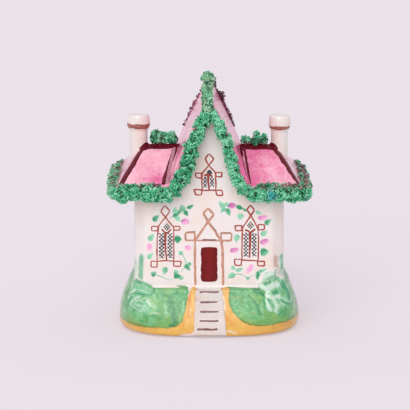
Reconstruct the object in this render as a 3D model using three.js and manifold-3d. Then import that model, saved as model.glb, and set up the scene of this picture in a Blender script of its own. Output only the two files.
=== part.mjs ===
// A glazed pottery house ornament: a white gabled cottage with two hipped wings and two chimneys,
// trimmed with ropes of shredded clay, on a grassy mound with a flight of steps.
// Millimetres, +Z up, the front faces -Y. The origin is the middle of the footprint.
// The pieces are the slabs, ropes and sprigs of clay that such a house is luted together from.
import * as THREE from 'three';
import { mergeVertices } from 'three/addons/utils/BufferGeometryUtils.js';
import Module from 'manifold-3d';

const wasm = await Module();
wasm.setup();

// Driving dimensions.
const seam = 0.3; // gap at each luted joint, which the glaze fills

const moundHeight = 21.9;
const moundHalfWidth = 43.8; // at the widest
const moundHalfDepth = 37.6; // at the widest
const moundWidestHeight = 3;
const moundTopHalfWidth = 38.6;
const moundTopHalfDepth = 29.6;
const moundFootInset = 2.2; // the foot tucks in under the widest line
const moundEdgeRadius = 1.1; // round edge of the level top
const moundUnevenness = 0.45;
const recessDepth = 12; // hollow under the foot
const recessWall = 8.5; // from the foot's outer edge to the hollow
const recessTaper = 2.5;
const recessCorner = 2;
const ventRadius = 3; // lets the air out of the house in the kiln

const stepCount = 5;
const stepRise = 4.25;
const stepHalfWidth = 7.2; // at the top
const stepFlare = 1.6; // on each side, at the foot
const stepProud = 0.5; // how far a riser stands out of the bank
const stepBlockDepth = 4.6; // of the block behind the bank's foot
const landingDepth = 1.6; // of bare mound between the top step and the wall

const houseHalfWidth = 36;
const houseHalfDepth = 27;
const cornerCut = 6; // leg of each canted corner
const wallThickness = 3.5;
const wallHeight = 50.1; // from the mound to the top edge of the eaves

const roofThickness = 3.3;
const eavesHalfWidth = 44;
const eavesHalfDepth = 31;
const wingRise = 15; // from the eaves to the wings' ridge
const wingRidgeEnd = 30.5; // where the hip begins, from the middle
const gableRise = 43.5; // from the eaves to the gable's ridge
const gableHalfWidth = 21.2; // at the eaves

const chimneyX = 34;
const chimneyRise = 14.5; // above the wings' ridge
const stackRadius = 4.4;
const capRadius = 5.5;
const capHeight = 7;
const capDish = 0.5; // hollow in the cap's top

const trimOutset = 1.3; // centre of the eaves' trim, outside the eaves' edge
const trimDrop = 3.8; // centre of the eaves' trim, below the eaves' top edge
const trimHalfWidth = 3.7;
const trimHalfHeight = 3.7;
const trimCornerRadius = 5;
const backTrimHalfWidth = 2.2;
const backTrimHalfHeight = 2.6;
const trimLumps = 0.18; // share of a trim's section that its lumps take
const crumbPitch = 1.9; // spacing of the rings along a trim
const gableTrimHalfWidth = 3;
const gableTrimHalfDepth = 4.1;
const gableTrimInset = 2.6; // from the roof's top line, on the level, at the peak
const gableTrimSag = 3.7; // how much further in it runs at its foot
const gableTrimReach = 4.5; // of its foot, below the eaves
const finialHalfWidth = 3.4;
const finialHalfDepth = 3.6;
const finialRise = 11.4; // above the gable's ridge
const finialDrop = 8.6; // below the gable's ridge
const finialNeck = 0.1; // share of its width that the neck loses
const rearTrimRadius = 1.5;
const rearTrimDrop = 25.5; // from the ridge to its lower end
const tuftHalfWidth = 3;
const tuftHalfHeight = 3.6;
const tuftLift = 3; // centre of a tuft, above the wings' ridge
const tuftGap = 1.2; // from the gable's roof and from the chimney

const shrubRise = 17; // up the canted corner, from the mound
const shrubDrop = 12; // of its lowest leaf's middle, below the mound's top
const shrubLeaf = 5; // half-width of its broadest leaf
const shrubRelief = 2; // how far it stands out of the bank and the wall
const leafPoint = 0.55; // share of a leaf's width that is gone at its tips

// Sizes that follow from them.
const eavesHeight = moundHeight + wallHeight;
const wingRidgeHeight = eavesHeight + wingRise;
const gableRidgeHeight = eavesHeight + gableRise;
const gablePitch = gableRise / gableHalfWidth;
const frontPitch = wingRise / eavesHalfDepth;
const endPitch = wingRise / (eavesHalfWidth - wingRidgeEnd);
const valleyHead = (gableRise - wingRise) / gablePitch; // from the middle to the valley, at the wings' ridge
const farAbove = 2 * gableRidgeHeight;

const whiteGlaze = new THREE.MeshStandardMaterial({ color: 0xf1ebe8, roughness: 0.16, metalness: 0 });
const grassGlaze = new THREE.MeshStandardMaterial({ color: 0x7cc795, roughness: 0.2, metalness: 0 });
const pinkLustre = new THREE.MeshStandardMaterial({ color: 0xe98fb8, roughness: 0.2, metalness: 0.05 });
const greenCrumb = new THREE.MeshStandardMaterial({ color: 0x2f9a6a, roughness: 0.35, metalness: 0 });
const darkCrumb = new THREE.MeshStandardMaterial({ color: 0x6b3a4c, roughness: 0.35, metalness: 0 });

const { lerp, clamp, smoothstep } = THREE.MathUtils;
const vector = (x, y, z) => new THREE.Vector3(x, y, z);
const house = new THREE.Group();

// Turns a closed geometry into a solid that can be joined and cut.
function solidOf(geometry) {
  const bare = geometry.clone();
  bare.deleteAttribute('normal');
  bare.deleteAttribute('uv');
  const merged = mergeVertices(bare, 1e-4);
  const vertProperties = Float32Array.from(merged.attributes.position.array);
  const triVerts = Uint32Array.from(merged.index.array);
  return new wasm.Manifold(new wasm.Mesh({ numProp: 3, vertProperties, triVerts }));
}

function geometryOf(solid) {
  const { vertProperties, triVerts } = solid.getMesh();
  const geometry = new THREE.BufferGeometry();
  geometry.setAttribute('position', new THREE.BufferAttribute(vertProperties, 3));
  geometry.setIndex(new THREE.BufferAttribute(triVerts, 1));
  return geometry;
}

// A copy reflected left to right, or front to back.
function mirrored(solid, axis) {
  const geometry = geometryOf(solid);
  geometry.scale(axis === 'x' ? -1 : 1, axis === 'y' ? -1 : 1, 1);
  const index = geometry.index.array;
  for (let i = 0; i < index.length; i += 3) {
    [index[i], index[i + 1]] = [index[i + 1], index[i]];
  }
  return solidOf(geometry);
}

function cutBy(solid, ...cutters) {
  return cutters.reduce((rest, cutter) => rest.subtract(cutter), solid);
}

function joined(...solids) {
  return solids.reduce((whole, next) => whole.add(next));
}

// A trim without the crumbs that a roof slab or a wall has cut off behind it.
function mainBody(solid) {
  return solid.decompose().reduce((best, body) => (body.volume() > best.volume() ? body : best));
}

function addPiece(name, solid, material) {
  const geometry = geometryOf(solid);
  geometry.computeVertexNormals();
  const mesh = new THREE.Mesh(geometry, material);
  mesh.name = name;
  house.add(mesh);
}

function addPair(name, rightSolid, material) {
  addPiece(`right_${name}`, rightSolid, material);
  addPiece(`left_${name}`, mirrored(rightSolid, 'x'), material);
}

// A closed skin through rings of points, drawn together to a point at each end.
function loft(firstPole, rings, lastPole) {
  const sides = rings[0].length;
  const points = [firstPole, ...rings.flat(), lastPole];
  const last = points.length - 1;
  const at = (ring, side) => 1 + ring * sides + (side % sides);
  const index = [];
  for (let side = 0; side < sides; side++) {
    index.push(0, at(0, side + 1), at(0, side));
    index.push(last, at(rings.length - 1, side), at(rings.length - 1, side + 1));
    for (let ring = 0; ring + 1 < rings.length; ring++) {
      index.push(at(ring, side), at(ring, side + 1), at(ring + 1, side + 1));
      index.push(at(ring, side), at(ring + 1, side + 1), at(ring + 1, side));
    }
  }
  const geometry = new THREE.BufferGeometry().setFromPoints(points);
  geometry.setIndex(index);
  return solidOf(geometry);
}

// A slab over a plan outline, between two heights that are given over the plan.
function slab(plan, underside, top) {
  const geometry = new THREE.ExtrudeGeometry(new THREE.Shape(plan), { depth: 1, bevelEnabled: false });
  const position = geometry.attributes.position;
  for (let i = 0; i < position.count; i++) {
    const height = position.getZ(i) > 0.5 ? top : underside;
    position.setZ(i, height(position.getX(i), position.getY(i)));
  }
  return solidOf(geometry);
}

const planOf = (...points) => points.map(([x, y]) => new THREE.Vector2(x, y));

// The plan with each edge moved in by its own distance; a negative one moves it out.
function insetPlan(plan, insets) {
  const edges = plan.map((start, i) => {
    const along = plan[(i + 1) % plan.length].clone().sub(start).normalize();
    const inward = new THREE.Vector2(-along.y, along.x);
    return { start: start.clone().addScaledVector(inward, insets[i]), along };
  });
  return edges.map((edge, i) => {
    const before = edges[(i + plan.length - 1) % plan.length];
    const reach = edge.start.clone().sub(before.start).cross(edge.along) / before.along.cross(edge.along);
    return before.start.clone().addScaledVector(before.along, reach);
  });
}

// The mound is a lofted bank, squarer in plan at the top, where the house stands.
const footSquareness = 3;
const topSquareness = 5;
const bankBulge = 1.8;
const moundSides = 72;

function roundedSquare(halfWidth, halfDepth, squareness, angle, z) {
  const c = Math.abs(Math.cos(angle)) / halfWidth;
  const s = Math.abs(Math.sin(angle)) / halfDepth;
  const reach = (c ** squareness + s ** squareness) ** (-1 / squareness);
  return vector(reach * Math.cos(angle), reach * Math.sin(angle), z);
}

function bankPoint(angle, z, grow = 0) {
  const rise = clamp((z - moundWidestHeight) / (moundHeight - moundWidestHeight), 0, 1);
  const bulge = 1 - rise ** bankBulge;
  const under = clamp(1 - z / moundWidestHeight, 0, 1);
  const tuck = moundFootInset * (1 - Math.sqrt(1 - under ** 2));
  const swell = Math.sin(5 * angle) * Math.cos(z / 5) + Math.cos(8 * angle) * Math.sin(z / 4);
  const uneven = 2 * moundUnevenness * swell * rise * (1 - rise);
  const halfWidth = lerp(moundTopHalfWidth, moundHalfWidth, bulge) - tuck + uneven + grow;
  const halfDepth = lerp(moundTopHalfDepth, moundHalfDepth, bulge) - tuck + uneven + grow;
  return roundedSquare(halfWidth, halfDepth, lerp(footSquareness, topSquareness, rise), angle, z);
}

function ringOf(pointAt) {
  return Array.from({ length: moundSides }, (_, k) => pointAt((2 * Math.PI * k) / moundSides));
}

function bankRings(grow) {
  const shoulder = moundHeight - moundEdgeRadius;
  const heights = [0, 0.35, 0.7, 1].map((share) => share * moundWidestHeight);
  for (const share of [0.17, 0.34, 0.51, 0.68, 0.84]) {
    heights.push(lerp(moundWidestHeight, shoulder, share));
  }
  const rings = heights.map((z) => ringOf((angle) => bankPoint(angle, z, grow)));
  for (const roll of [0, Math.PI / 4, Math.PI / 2]) {
    const z = shoulder + (moundEdgeRadius + grow) * Math.sin(roll);
    const roundOff = moundEdgeRadius * (1 - Math.cos(roll));
    rings.push(ringOf((angle) => bankPoint(angle, shoulder, grow - roundOff).setZ(z)));
  }
  return rings;
}

function recessRing(inset, z) {
  const halfWidth = moundHalfWidth - moundFootInset - inset;
  const halfDepth = moundHalfDepth - moundFootInset - inset;
  return ringOf((angle) => roundedSquare(halfWidth, halfDepth, footSquareness, angle, z));
}

function groundMound() {
  const recess = [
    recessRing(recessWall + recessTaper + recessCorner, recessDepth),
    recessRing(recessWall + recessTaper, recessDepth - recessCorner),
    recessRing(recessWall, 0),
  ];
  const mound = loft(vector(0, 0, recessDepth), [...recess, ...bankRings(0)], vector(0, 0, moundHeight));
  const vent = new THREE.CylinderGeometry(ventRadius, ventRadius, 3 * moundHeight, 24);
  vent.rotateX(Math.PI / 2);
  return cutBy(mound, solidOf(vent), stepSeat());
}

// The mound and the seam round it, for cutting what is pressed onto the bank.
function moundRoom() {
  return loft(vector(0, 0, -seam), bankRings(seam), vector(0, 0, moundHeight + seam));
}

// The steps are a stair profile that follows the bank, flared towards the foot.
function riserFront(step) {
  const bank = bankPoint(-Math.PI / 2, (step - 0.5) * stepRise);
  return -Math.min(-bank.y + stepProud, moundHalfDepth);
}

function stepBack(z) {
  const topBack = -(houseHalfDepth + landingDepth);
  return lerp(stepBlockDepth - moundHalfDepth, topBack, z / (stepCount * stepRise));
}

// Extrudes a profile in y and z across the path; it widens from the top step down to the foot.
function acrossPath(profile, halfWidth) {
  const geometry = new THREE.ExtrudeGeometry(new THREE.Shape(profile), { depth: 2, bevelEnabled: false });
  geometry.applyMatrix4(new THREE.Matrix4().makeBasis(vector(0, 1, 0), vector(0, 0, 1), vector(1, 0, 0)));
  geometry.translate(-1, 0, 0);
  const position = geometry.attributes.position;
  for (let i = 0; i < position.count; i++) {
    const flare = stepFlare * (1 - position.getZ(i) / moundHeight);
    position.setX(i, position.getX(i) * (halfWidth + flare));
  }
  return solidOf(geometry);
}

function frontSteps() {
  const profile = [[stepBack(0), 0], [moundFootInset / 2 - moundHalfDepth, 0]];
  profile.push([riserFront(1), moundWidestHeight / 2]);
  for (let step = 1; step <= stepCount; step++) {
    const z = step * stepRise;
    profile.push([riserFront(step), z], [step < stepCount ? riserFront(step + 1) : stepBack(z), z]);
  }
  return acrossPath(planOf(...profile), stepHalfWidth);
}

// The channel in the bank that the steps sit in, a seam wider and deeper than their block.
function stepSeat() {
  const front = -2 * moundHalfDepth;
  const top = stepCount * stepRise;
  const profile = [[stepBack(0) + seam, 0], [stepBack(top) + seam, top], [stepBack(top) + seam, 2 * top]];
  profile[0][0] -= stepBack(top) - stepBack(0);
  profile[0][1] -= top;
  return acrossPath(planOf(...profile, [front, 2 * top], [front, -top]), stepHalfWidth + seam);
}

// The roof: each slope is a slab over its plan, mitred to its neighbours along upright seams.
// Only the right front quarter and the right gable slope are drawn; the rest are reflections.
const valleyTop = [valleyHead, 0];
const valleyFoot = [gableHalfWidth, -eavesHalfDepth];
const hipTop = [wingRidgeEnd, 0];
const hipFoot = [eavesHalfWidth, -eavesHalfDepth];
const gableTop = (x) => gableRidgeHeight - gablePitch * x;
const frontTop = (x, y) => eavesHeight + frontPitch * (eavesHalfDepth + y);
const endTop = (x) => eavesHeight + endPitch * (eavesHalfWidth - x);

// A slope's slab, and the rooms that it and the seam round it take from its neighbours.
function roofSlope(plan, mitres, top, pitch) {
  const steepness = Math.hypot(1, pitch);
  const drop = roofThickness * steepness;
  const gap = seam * steepness;
  const grown = insetPlan(plan, plan.map(() => -seam));
  return {
    piece: slab(insetPlan(plan, mitres.map((mitre) => mitre * (seam / 2))), (x, y) => top(x, y) - drop, top),
    room: slab(grown, (x, y) => top(x, y) - drop - gap, (x, y) => top(x, y) + gap),
    roomAndBelow: slab(grown, () => 0, (x, y) => top(x, y) + gap),
    roomAndAbove: slab(grown, (x, y) => top(x, y) - drop - gap, () => farAbove),
  };
}

const gableSlope = roofSlope(
  planOf([0, -eavesHalfDepth], valleyFoot, valleyTop, [gableHalfWidth, eavesHalfDepth], [0, eavesHalfDepth]),
  [0, 1, 1, 0, 1], gableTop, gablePitch);
const frontSlope = roofSlope(
  planOf(valleyTop, valleyFoot, hipFoot, hipTop), [1, 0, 1, 1], frontTop, frontPitch);
const endSlope = roofSlope(
  planOf(hipTop, hipFoot, [eavesHalfWidth, eavesHalfDepth]), [1, 0, 1], endTop, endPitch);

// Joins one kind of room over the right half of the roof.
function rightRoof(kind) {
  const front = frontSlope[kind];
  return joined(gableSlope[kind], front, mirrored(front, 'y'), endSlope[kind]);
}

const rightRoofRoom = rightRoof('room');
const rightRoofMass = rightRoof('roomAndBelow');
const overRightWalls = rightRoof('roomAndAbove');
const overWalls = joined(overRightWalls, mirrored(overRightWalls, 'x'));
const gableRoom = joined(gableSlope.room, mirrored(gableSlope.room, 'x'));

// The walls: slabs on an octagonal plan that run up to the underside of the roof.
function houseCorners(inset) {
  const halfWidth = houseHalfWidth - inset;
  const halfDepth = houseHalfDepth - inset;
  const cut = cornerCut - inset * (2 - Math.SQRT2);
  return { halfWidth, halfDepth, flatHalfWidth: halfWidth - cut, flatHalfDepth: halfDepth - cut };
}

const endWallHalfLength = houseHalfDepth - cornerCut;

function wallSlab(plan) {
  return cutBy(slab(plan, () => moundHeight, () => farAbove), overWalls);
}

// The front wall carries both canted corners and its gable in one slab.
function frontWall() {
  const outer = houseCorners(0);
  const inner = houseCorners(wallThickness);
  const right = [
    [outer.flatHalfWidth, -outer.halfDepth], [outer.halfWidth, -endWallHalfLength],
    [inner.halfWidth, -endWallHalfLength], [inner.halfWidth, -inner.flatHalfDepth],
    [inner.flatHalfWidth, -inner.halfDepth],
  ];
  const left = right.map(([x, y]) => [-x, y]).reverse();
  return wallSlab(planOf(...right, ...left));
}

function endWall() {
  const inside = houseHalfWidth - wallThickness;
  const end = endWallHalfLength;
  return wallSlab(planOf([inside, -end], [houseHalfWidth, -end], [houseHalfWidth, end], [inside, end]));
}

// The house's outline and the seam round it, for cutting what is pressed onto the walls.
function wallRoom() {
  const { halfWidth, halfDepth, flatHalfWidth, flatHalfDepth } = houseCorners(-seam);
  const quarter = [[halfWidth, flatHalfDepth], [flatHalfWidth, halfDepth]];
  const back = [...quarter, ...quarter.map(([x, y]) => [-x, y]).reverse()];
  const front = back.map(([x, y]) => [-x, -y]);
  return slab(planOf(...back, ...front), () => 0, () => farAbove);
}

// A chimney is thrown as one piece, with a flared cap and a slightly hollow top.
function chimney() {
  const top = wingRidgeHeight + chimneyRise;
  const neck = top - capHeight;
  const profile = [
    [0, eavesHeight], [stackRadius * 1.05, eavesHeight], [stackRadius * 0.97, lerp(eavesHeight, neck, 0.7)],
    [stackRadius, neck], [lerp(stackRadius, capRadius, 0.8), neck + 0.08 * capHeight],
    [capRadius, neck + 0.3 * capHeight], [capRadius * 0.97, neck + 0.75 * capHeight],
    [capRadius * 0.9, neck + 0.95 * capHeight], [capRadius * 0.76, top], [0, top - capDish],
  ];
  const geometry = new THREE.LatheGeometry(planOf(...profile), 28);
  geometry.rotateX(Math.PI / 2);
  return cutBy(solidOf(geometry.translate(chimneyX, 0, 0)), rightRoofMass);
}

// Waves of three lengths that never line up, so that no two lumps of a trim are alike.
function lump(ring, turn, seed) {
  return 0.5 * Math.sin(2.2 * ring + 2 * turn + seed)
    + 0.3 * Math.sin(3.9 * ring - 3 * turn + 2.3 * seed)
    + 0.3 * Math.sin(1.2 * ring + turn + 4.1 * seed);
}

const ropeSides = 10;

// A rope of clay crumbs laid along a route, with rounded ends and an elliptical, lumpy section.
// halfDepth lies along the direction deep, and halfWidth square to it.
function clayRope({ route, deep, halfWidth, halfDepth, seed, taper = () => 1 }, grow = 0) {
  const length = route.length - 1;
  const roundEnd = Math.min(halfWidth, halfDepth) / crumbPitch;
  const alongAt = (i) => route[Math.min(i + 1, length)].clone().sub(route[Math.max(i - 1, 0)]).normalize();
  const rings = [];
  for (let i = 1; i < length; i++) {
    const across = vector(0, 0, 0).crossVectors(deep, alongAt(i)).normalize();
    const endShare = clamp(Math.min(i, length - i) / roundEnd, 0, 1);
    const girth = Math.sqrt(1 - (1 - endShare) ** 2) * taper(i / length);
    rings.push(Array.from({ length: ropeSides }, (_, k) => {
      const turn = (2 * Math.PI * k) / ropeSides;
      const size = girth * (1 + trimLumps * lump(i, turn, seed));
      return route[i].clone()
        .addScaledVector(across, (halfWidth * size + grow) * Math.cos(turn))
        .addScaledVector(deep, (halfDepth * size + grow) * Math.sin(turn));
    }));
  }
  const first = route[0].clone().addScaledVector(alongAt(0), -grow);
  return loft(first, rings, route[length].clone().addScaledVector(alongAt(length), grow));
}

// Points about one crumb pitch apart on a path in plan, all at one height.
function levelRoute(path, height) {
  const spaces = Math.ceil(path.getLength() / crumbPitch);
  return path.getSpacedPoints(spaces).map(({ x, y }) => vector(x, y, height));
}

function straightRoute(start, end) {
  const spaces = Math.ceil(start.distanceTo(end) / crumbPitch);
  return Array.from({ length: spaces + 1 }, (_, i) => start.clone().lerp(end, i / spaces));
}

const frontward = vector(0, 1, 0);
const upward = vector(0, 0, 1);
const trimFace = eavesHalfDepth + trimOutset / 2; // centre of the gable's trim, from the middle
const finialFoot = gableRidgeHeight - finialDrop;

// The finial is a knob on a short neck, over the point where the two gable trims meet.
const finial = {
  route: straightRoute(vector(0, -trimFace, finialFoot), vector(0, -trimFace, gableRidgeHeight + finialRise)),
  deep: frontward,
  halfWidth: finialHalfWidth,
  halfDepth: finialHalfDepth,
  seed: 1.3,
  taper: (share) => 1 - finialNeck * Math.sin(Math.PI * share) ** 2,
};

// The gable's trim follows the roof's edge at the peak and draws in below it.
function gableTrimRoute() {
  const foot = eavesHeight - gableTrimReach;
  const head = finialFoot + finialHalfWidth / 2;
  const spaces = Math.ceil(((head - foot) * 1.12) / crumbPitch);
  return Array.from({ length: spaces + 1 }, (_, i) => {
    const z = lerp(foot, head, i / spaces);
    const sag = gableTrimSag * (1 - smoothstep(z, lerp(foot, head, 0.25), lerp(foot, head, 0.75)));
    return vector((gableRidgeHeight - z) / gablePitch - gableTrimInset - sag, -trimFace, z);
  });
}

const gableTrim = {
  route: gableTrimRoute(),
  deep: frontward,
  halfWidth: gableTrimHalfWidth,
  halfDepth: gableTrimHalfDepth,
  seed: 2.9,
};

// The eaves' trim starts at the gable trim's foot and turns the corner onto the end of the wing.
const trimLevel = eavesHeight - trimDrop;
const trimX = eavesHalfWidth + trimOutset;
const trimY = eavesHalfDepth + trimOutset;

function cornerPath(startX, outsetX, outsetY) {
  const path = new THREE.Path();
  const centreX = outsetX - trimCornerRadius;
  const centreY = trimCornerRadius - outsetY;
  path.moveTo(startX, -outsetY).lineTo(centreX, -outsetY);
  path.absarc(centreX, centreY, trimCornerRadius, -Math.PI / 2, 0, false);
  return path;
}

const frontTrim = {
  route: levelRoute(cornerPath(gableTrim.route[0].x, trimX, trimY), trimLevel),
  deep: upward,
  halfWidth: trimHalfWidth,
  halfDepth: trimHalfHeight,
  seed: 4.2,
};

const sideTrimFront = trimCornerRadius - trimHalfWidth - trimY;
const sideTrim = {
  route: straightRoute(vector(trimX, sideTrimFront, trimLevel), vector(trimX, eavesHalfDepth, trimLevel)),
  deep: upward,
  halfWidth: trimHalfWidth,
  halfDepth: trimHalfHeight,
  seed: 5.7,
};

const backEdge = vector(0, eavesHalfDepth, eavesHeight - backTrimHalfHeight / 2);
const backTrim = {
  route: straightRoute(backEdge.clone().setX(gableHalfWidth), backEdge.clone().setX(eavesHalfWidth)),
  deep: upward,
  halfWidth: backTrimHalfWidth,
  halfDepth: backTrimHalfHeight,
  seed: 6.1,
};

const rearGableTrim = {
  route: straightRoute(
    vector(rearTrimDrop / gablePitch, eavesHalfDepth, gableRidgeHeight - rearTrimDrop),
    vector(0, eavesHalfDepth, gableRidgeHeight)),
  deep: frontward,
  halfWidth: rearTrimRadius,
  halfDepth: rearTrimRadius,
  seed: 7.7,
};

// A tuft of crumbs lies along the ridge of a wing, between the gable's roof and the chimney.
const tuftHeight = wingRidgeHeight + tuftLift;
const ridgeTuft = {
  route: straightRoute(
    vector((gableRidgeHeight - tuftHeight) / gablePitch + tuftGap + 1, 0, tuftHeight),
    vector(chimneyX - stackRadius - tuftGap, 0, tuftHeight)),
  deep: upward,
  halfWidth: tuftHalfWidth,
  halfDepth: tuftHalfHeight,
  seed: 8.4,
};

// The halves of a mirrored pair keep apart at the middle plane.
function middleRoom() {
  return solidOf(new THREE.BoxGeometry(seam, 4 * eavesHalfDepth, 2 * farAbove));
}

// The corner shrub is a sprig of leaves pressed onto the bank and up the canted corner.
// Each leaf is a flat dome with two points, leaning to one side.
function leaf(centre, outward, halfAcross, halfUp, lean) {
  const geometry = new THREE.SphereGeometry(1, 14, 8);
  const position = geometry.attributes.position;
  for (let i = 0; i < position.count; i++) {
    position.setX(i, position.getX(i) * (1 - leafPoint * position.getY(i) ** 2));
  }
  const across = vector(0, 0, 0).crossVectors(upward, outward).normalize();
  const up = vector(0, 0, 0).crossVectors(outward, across);
  geometry.scale(halfAcross, halfUp, shrubRelief);
  geometry.rotateZ(lean);
  geometry.applyMatrix4(new THREE.Matrix4().makeBasis(across, up, outward));
  return solidOf(geometry.translate(...centre));
}

// A leaf on the bank, placed by its direction from the middle and its height.
function bankLeaf(degrees, z, halfAcross, halfUp, lean) {
  const angle = THREE.MathUtils.degToRad(degrees);
  const ahead = bankPoint(angle + 0.05, z).sub(bankPoint(angle - 0.05, z));
  const uphill = bankPoint(angle, z + 1).sub(bankPoint(angle, z - 1));
  return leaf(bankPoint(angle, z), ahead.cross(uphill).normalize(), halfAcross, halfUp, lean);
}

// A leaf on the canted corner, placed by its shift along the corner's face and its height.
function cornerLeaf(shift, z, halfAcross, halfUp, lean) {
  const middle = cornerCut / 2;
  const centre = vector(houseHalfWidth - middle + shift, middle - houseHalfDepth + shift, z);
  return leaf(centre, vector(Math.SQRT1_2, -Math.SQRT1_2, 0), halfAcross, halfUp, lean);
}

// Leaves up the corner: shift and rise of the middle, half-width, half-length, lean.
// Shifts are shares of the corner's cut, rises are shares of the shrub's, sizes are shares of its leaf.
const cornerLeaves = [
  [0.12, 0.62, 0.5, 1.36, 0.05],
  [-0.15, 0.3, 0.64, 1.22, 0.25],
  [0.22, 0.12, 0.76, 1, -0.3],
  [-0.28, 0, 0.72, 0.84, 0.5],
];

// Leaves down the bank: direction in degrees, share of the drop, half-width, half-length, lean.
const bankLeaves = [
  [-47, 0.23, 0.92, 1.24, 0.9],
  [-33, 0.3, 0.88, 1.28, -0.6],
  [-40, 0.6, 1, 1.08, 0],
  [-50, 0.72, 0.76, 1.08, 1.2],
  [-30, 0.78, 0.8, 1.12, -0.9],
  [-40, 1, 0.84, 0.88, 0.3],
];

function cornerShrub() {
  const leaves = [
    ...cornerLeaves.map(([shift, rise, across, up, lean]) => cornerLeaf(
      shift * cornerCut, moundHeight + rise * shrubRise, across * shrubLeaf, up * shrubLeaf, lean)),
    ...bankLeaves.map(([degrees, drop, across, up, lean]) => bankLeaf(
      degrees, moundHeight - drop * shrubDrop, across * shrubLeaf, up * shrubLeaf, lean)),
  ];
  return mainBody(cutBy(joined(...leaves), moundRoom(), wallRoom()));
}

// Ground.
addPiece('ground_mound', groundMound(), grassGlaze);
addPiece('front_steps', frontSteps(), whiteGlaze);
addPair('corner_shrub', cornerShrub(), grassGlaze);

// Walls.
const wall = frontWall();
addPiece('front_wall', wall, whiteGlaze);
addPiece('back_wall', mirrored(wall, 'y'), whiteGlaze);
addPair('end_wall', endWall(), whiteGlaze);

// Roofs and chimneys.
addPair('gable_roof', gableSlope.piece, pinkLustre);
addPair('wing_front_slope', frontSlope.piece, pinkLustre);
addPair('wing_back_slope', mirrored(frontSlope.piece, 'y'), pinkLustre);
addPair('wing_end_slope', endSlope.piece, pinkLustre);
addPair('chimney', chimney(), whiteGlaze);

// Trims: each is cut by the roof, by the walls and by the trims that were laid before it.
const walls = wallRoom();
const gableTrimSolid = cutBy(clayRope(gableTrim), clayRope(finial, seam), middleRoom(), walls, rightRoofRoom);
const frontTrimSolid = cutBy(clayRope(frontTrim), clayRope(gableTrim, seam), rightRoofRoom);
const sideTrimSolid = cutBy(clayRope(sideTrim), clayRope(frontTrim, seam), rightRoofRoom);
const backTrimSolid = cutBy(clayRope(backTrim), clayRope(sideTrim, seam), rightRoofRoom);
addPiece('gable_finial', mainBody(cutBy(clayRope(finial), gableRoom)), greenCrumb);
addPair('gable_trim', mainBody(gableTrimSolid), greenCrumb);
addPair('eaves_trim_front', mainBody(frontTrimSolid), greenCrumb);
addPair('eaves_trim_side', mainBody(sideTrimSolid), greenCrumb);
addPair('eaves_trim_back', mainBody(backTrimSolid), darkCrumb);
addPair('rear_gable_trim', mainBody(cutBy(clayRope(rearGableTrim), middleRoom(), rightRoofRoom)), darkCrumb);
addPair('ridge_tuft', mainBody(cutBy(clayRope(ridgeTuft), rightRoofMass)), greenCrumb);

export default house;
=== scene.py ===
"""A glazed pottery house ornament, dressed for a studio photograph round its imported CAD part.

Lengths are millimetres until a piece is made. +Z is up and the painted front faces -Y.
"""
import math
from functools import cached_property

import bpy
import numpy as np
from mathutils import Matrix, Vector


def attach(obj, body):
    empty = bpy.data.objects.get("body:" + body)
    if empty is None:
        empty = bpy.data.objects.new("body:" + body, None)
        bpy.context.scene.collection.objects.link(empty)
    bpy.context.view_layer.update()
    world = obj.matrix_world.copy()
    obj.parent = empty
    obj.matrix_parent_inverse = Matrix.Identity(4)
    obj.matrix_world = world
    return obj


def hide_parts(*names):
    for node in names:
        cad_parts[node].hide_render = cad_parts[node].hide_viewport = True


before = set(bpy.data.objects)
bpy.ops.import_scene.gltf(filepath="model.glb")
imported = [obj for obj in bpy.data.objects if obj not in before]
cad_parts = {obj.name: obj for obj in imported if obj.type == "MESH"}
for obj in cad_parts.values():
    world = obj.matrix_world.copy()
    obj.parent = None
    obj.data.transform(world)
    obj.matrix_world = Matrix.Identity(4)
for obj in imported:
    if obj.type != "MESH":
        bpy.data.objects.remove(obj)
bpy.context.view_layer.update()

MM = 0.001
TAU = 2 * math.pi

# The house's own sizes, as in the part.
MOUND_TOP = 21.9
MOUND_HALF_WIDTH = 43.8
MOUND_HALF_DEPTH = 37.6
MOUND_WIDEST = 3.0
MOUND_TOP_HALF_WIDTH = 38.6
MOUND_TOP_HALF_DEPTH = 29.6
MOUND_TUCK = 2.2
MOUND_EDGE = 1.1
MOUND_UNEVEN = 0.45
BANK_BULGE = 1.8
FOOT_SQUARE = 3.0
TOP_SQUARE = 5.0
HOLLOW_HEIGHT = 12.0
HOLLOW_WALL = 8.5
STEP_COUNT = 5
STEP_RISE = 4.25
STEP_PROUD = 0.5
HOUSE_HALF_WIDTH = 36.0
HOUSE_HALF_DEPTH = 27.0
CORNER_CUT = 6.0
WALL_THICK = 3.5
WALL_HEIGHT = 50.1
EAVES_HALF_WIDTH = 44.0
EAVES_HALF_DEPTH = 31.0
ROOF_THICK = 3.3
WING_RISE = 15.0
GABLE_RISE = 43.5
GABLE_HALF_WIDTH = 21.2
CHIMNEY_X = 34.0
CHIMNEY_RISE = 14.5
STACK_RADIUS = 4.4
CAP_RADIUS = 5.5
CAP_HEIGHT = 7.0

# Sizes in which the photographed house departs from the part's even one.
BACK_NARROWING = 0.032  # how much narrower the mound's top is at its back
STEP_TOP_HALF = 6.5
STEP_FLARE_LEFT = 1.0
STEP_FLARE_RIGHT = 2.1
WING_RIDGE_END = 32.0
VALLEY_FOOT = 19.2  # from the middle, at the eaves

# What follows from them.
EAVES = MOUND_TOP + WALL_HEIGHT
WING_RIDGE = EAVES + WING_RISE
GABLE_RIDGE = EAVES + GABLE_RISE
GABLE_PITCH = GABLE_RISE / GABLE_HALF_WIDTH
FRONT_PITCH = WING_RISE / EAVES_HALF_DEPTH
END_PITCH = WING_RISE / (EAVES_HALF_WIDTH - WING_RIDGE_END)
VALLEY_HEAD = (GABLE_RISE - WING_RISE) / GABLE_PITCH
GABLE_KICK = WING_RISE / (VALLEY_FOOT - VALLEY_HEAD) - GABLE_PITCH


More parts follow.
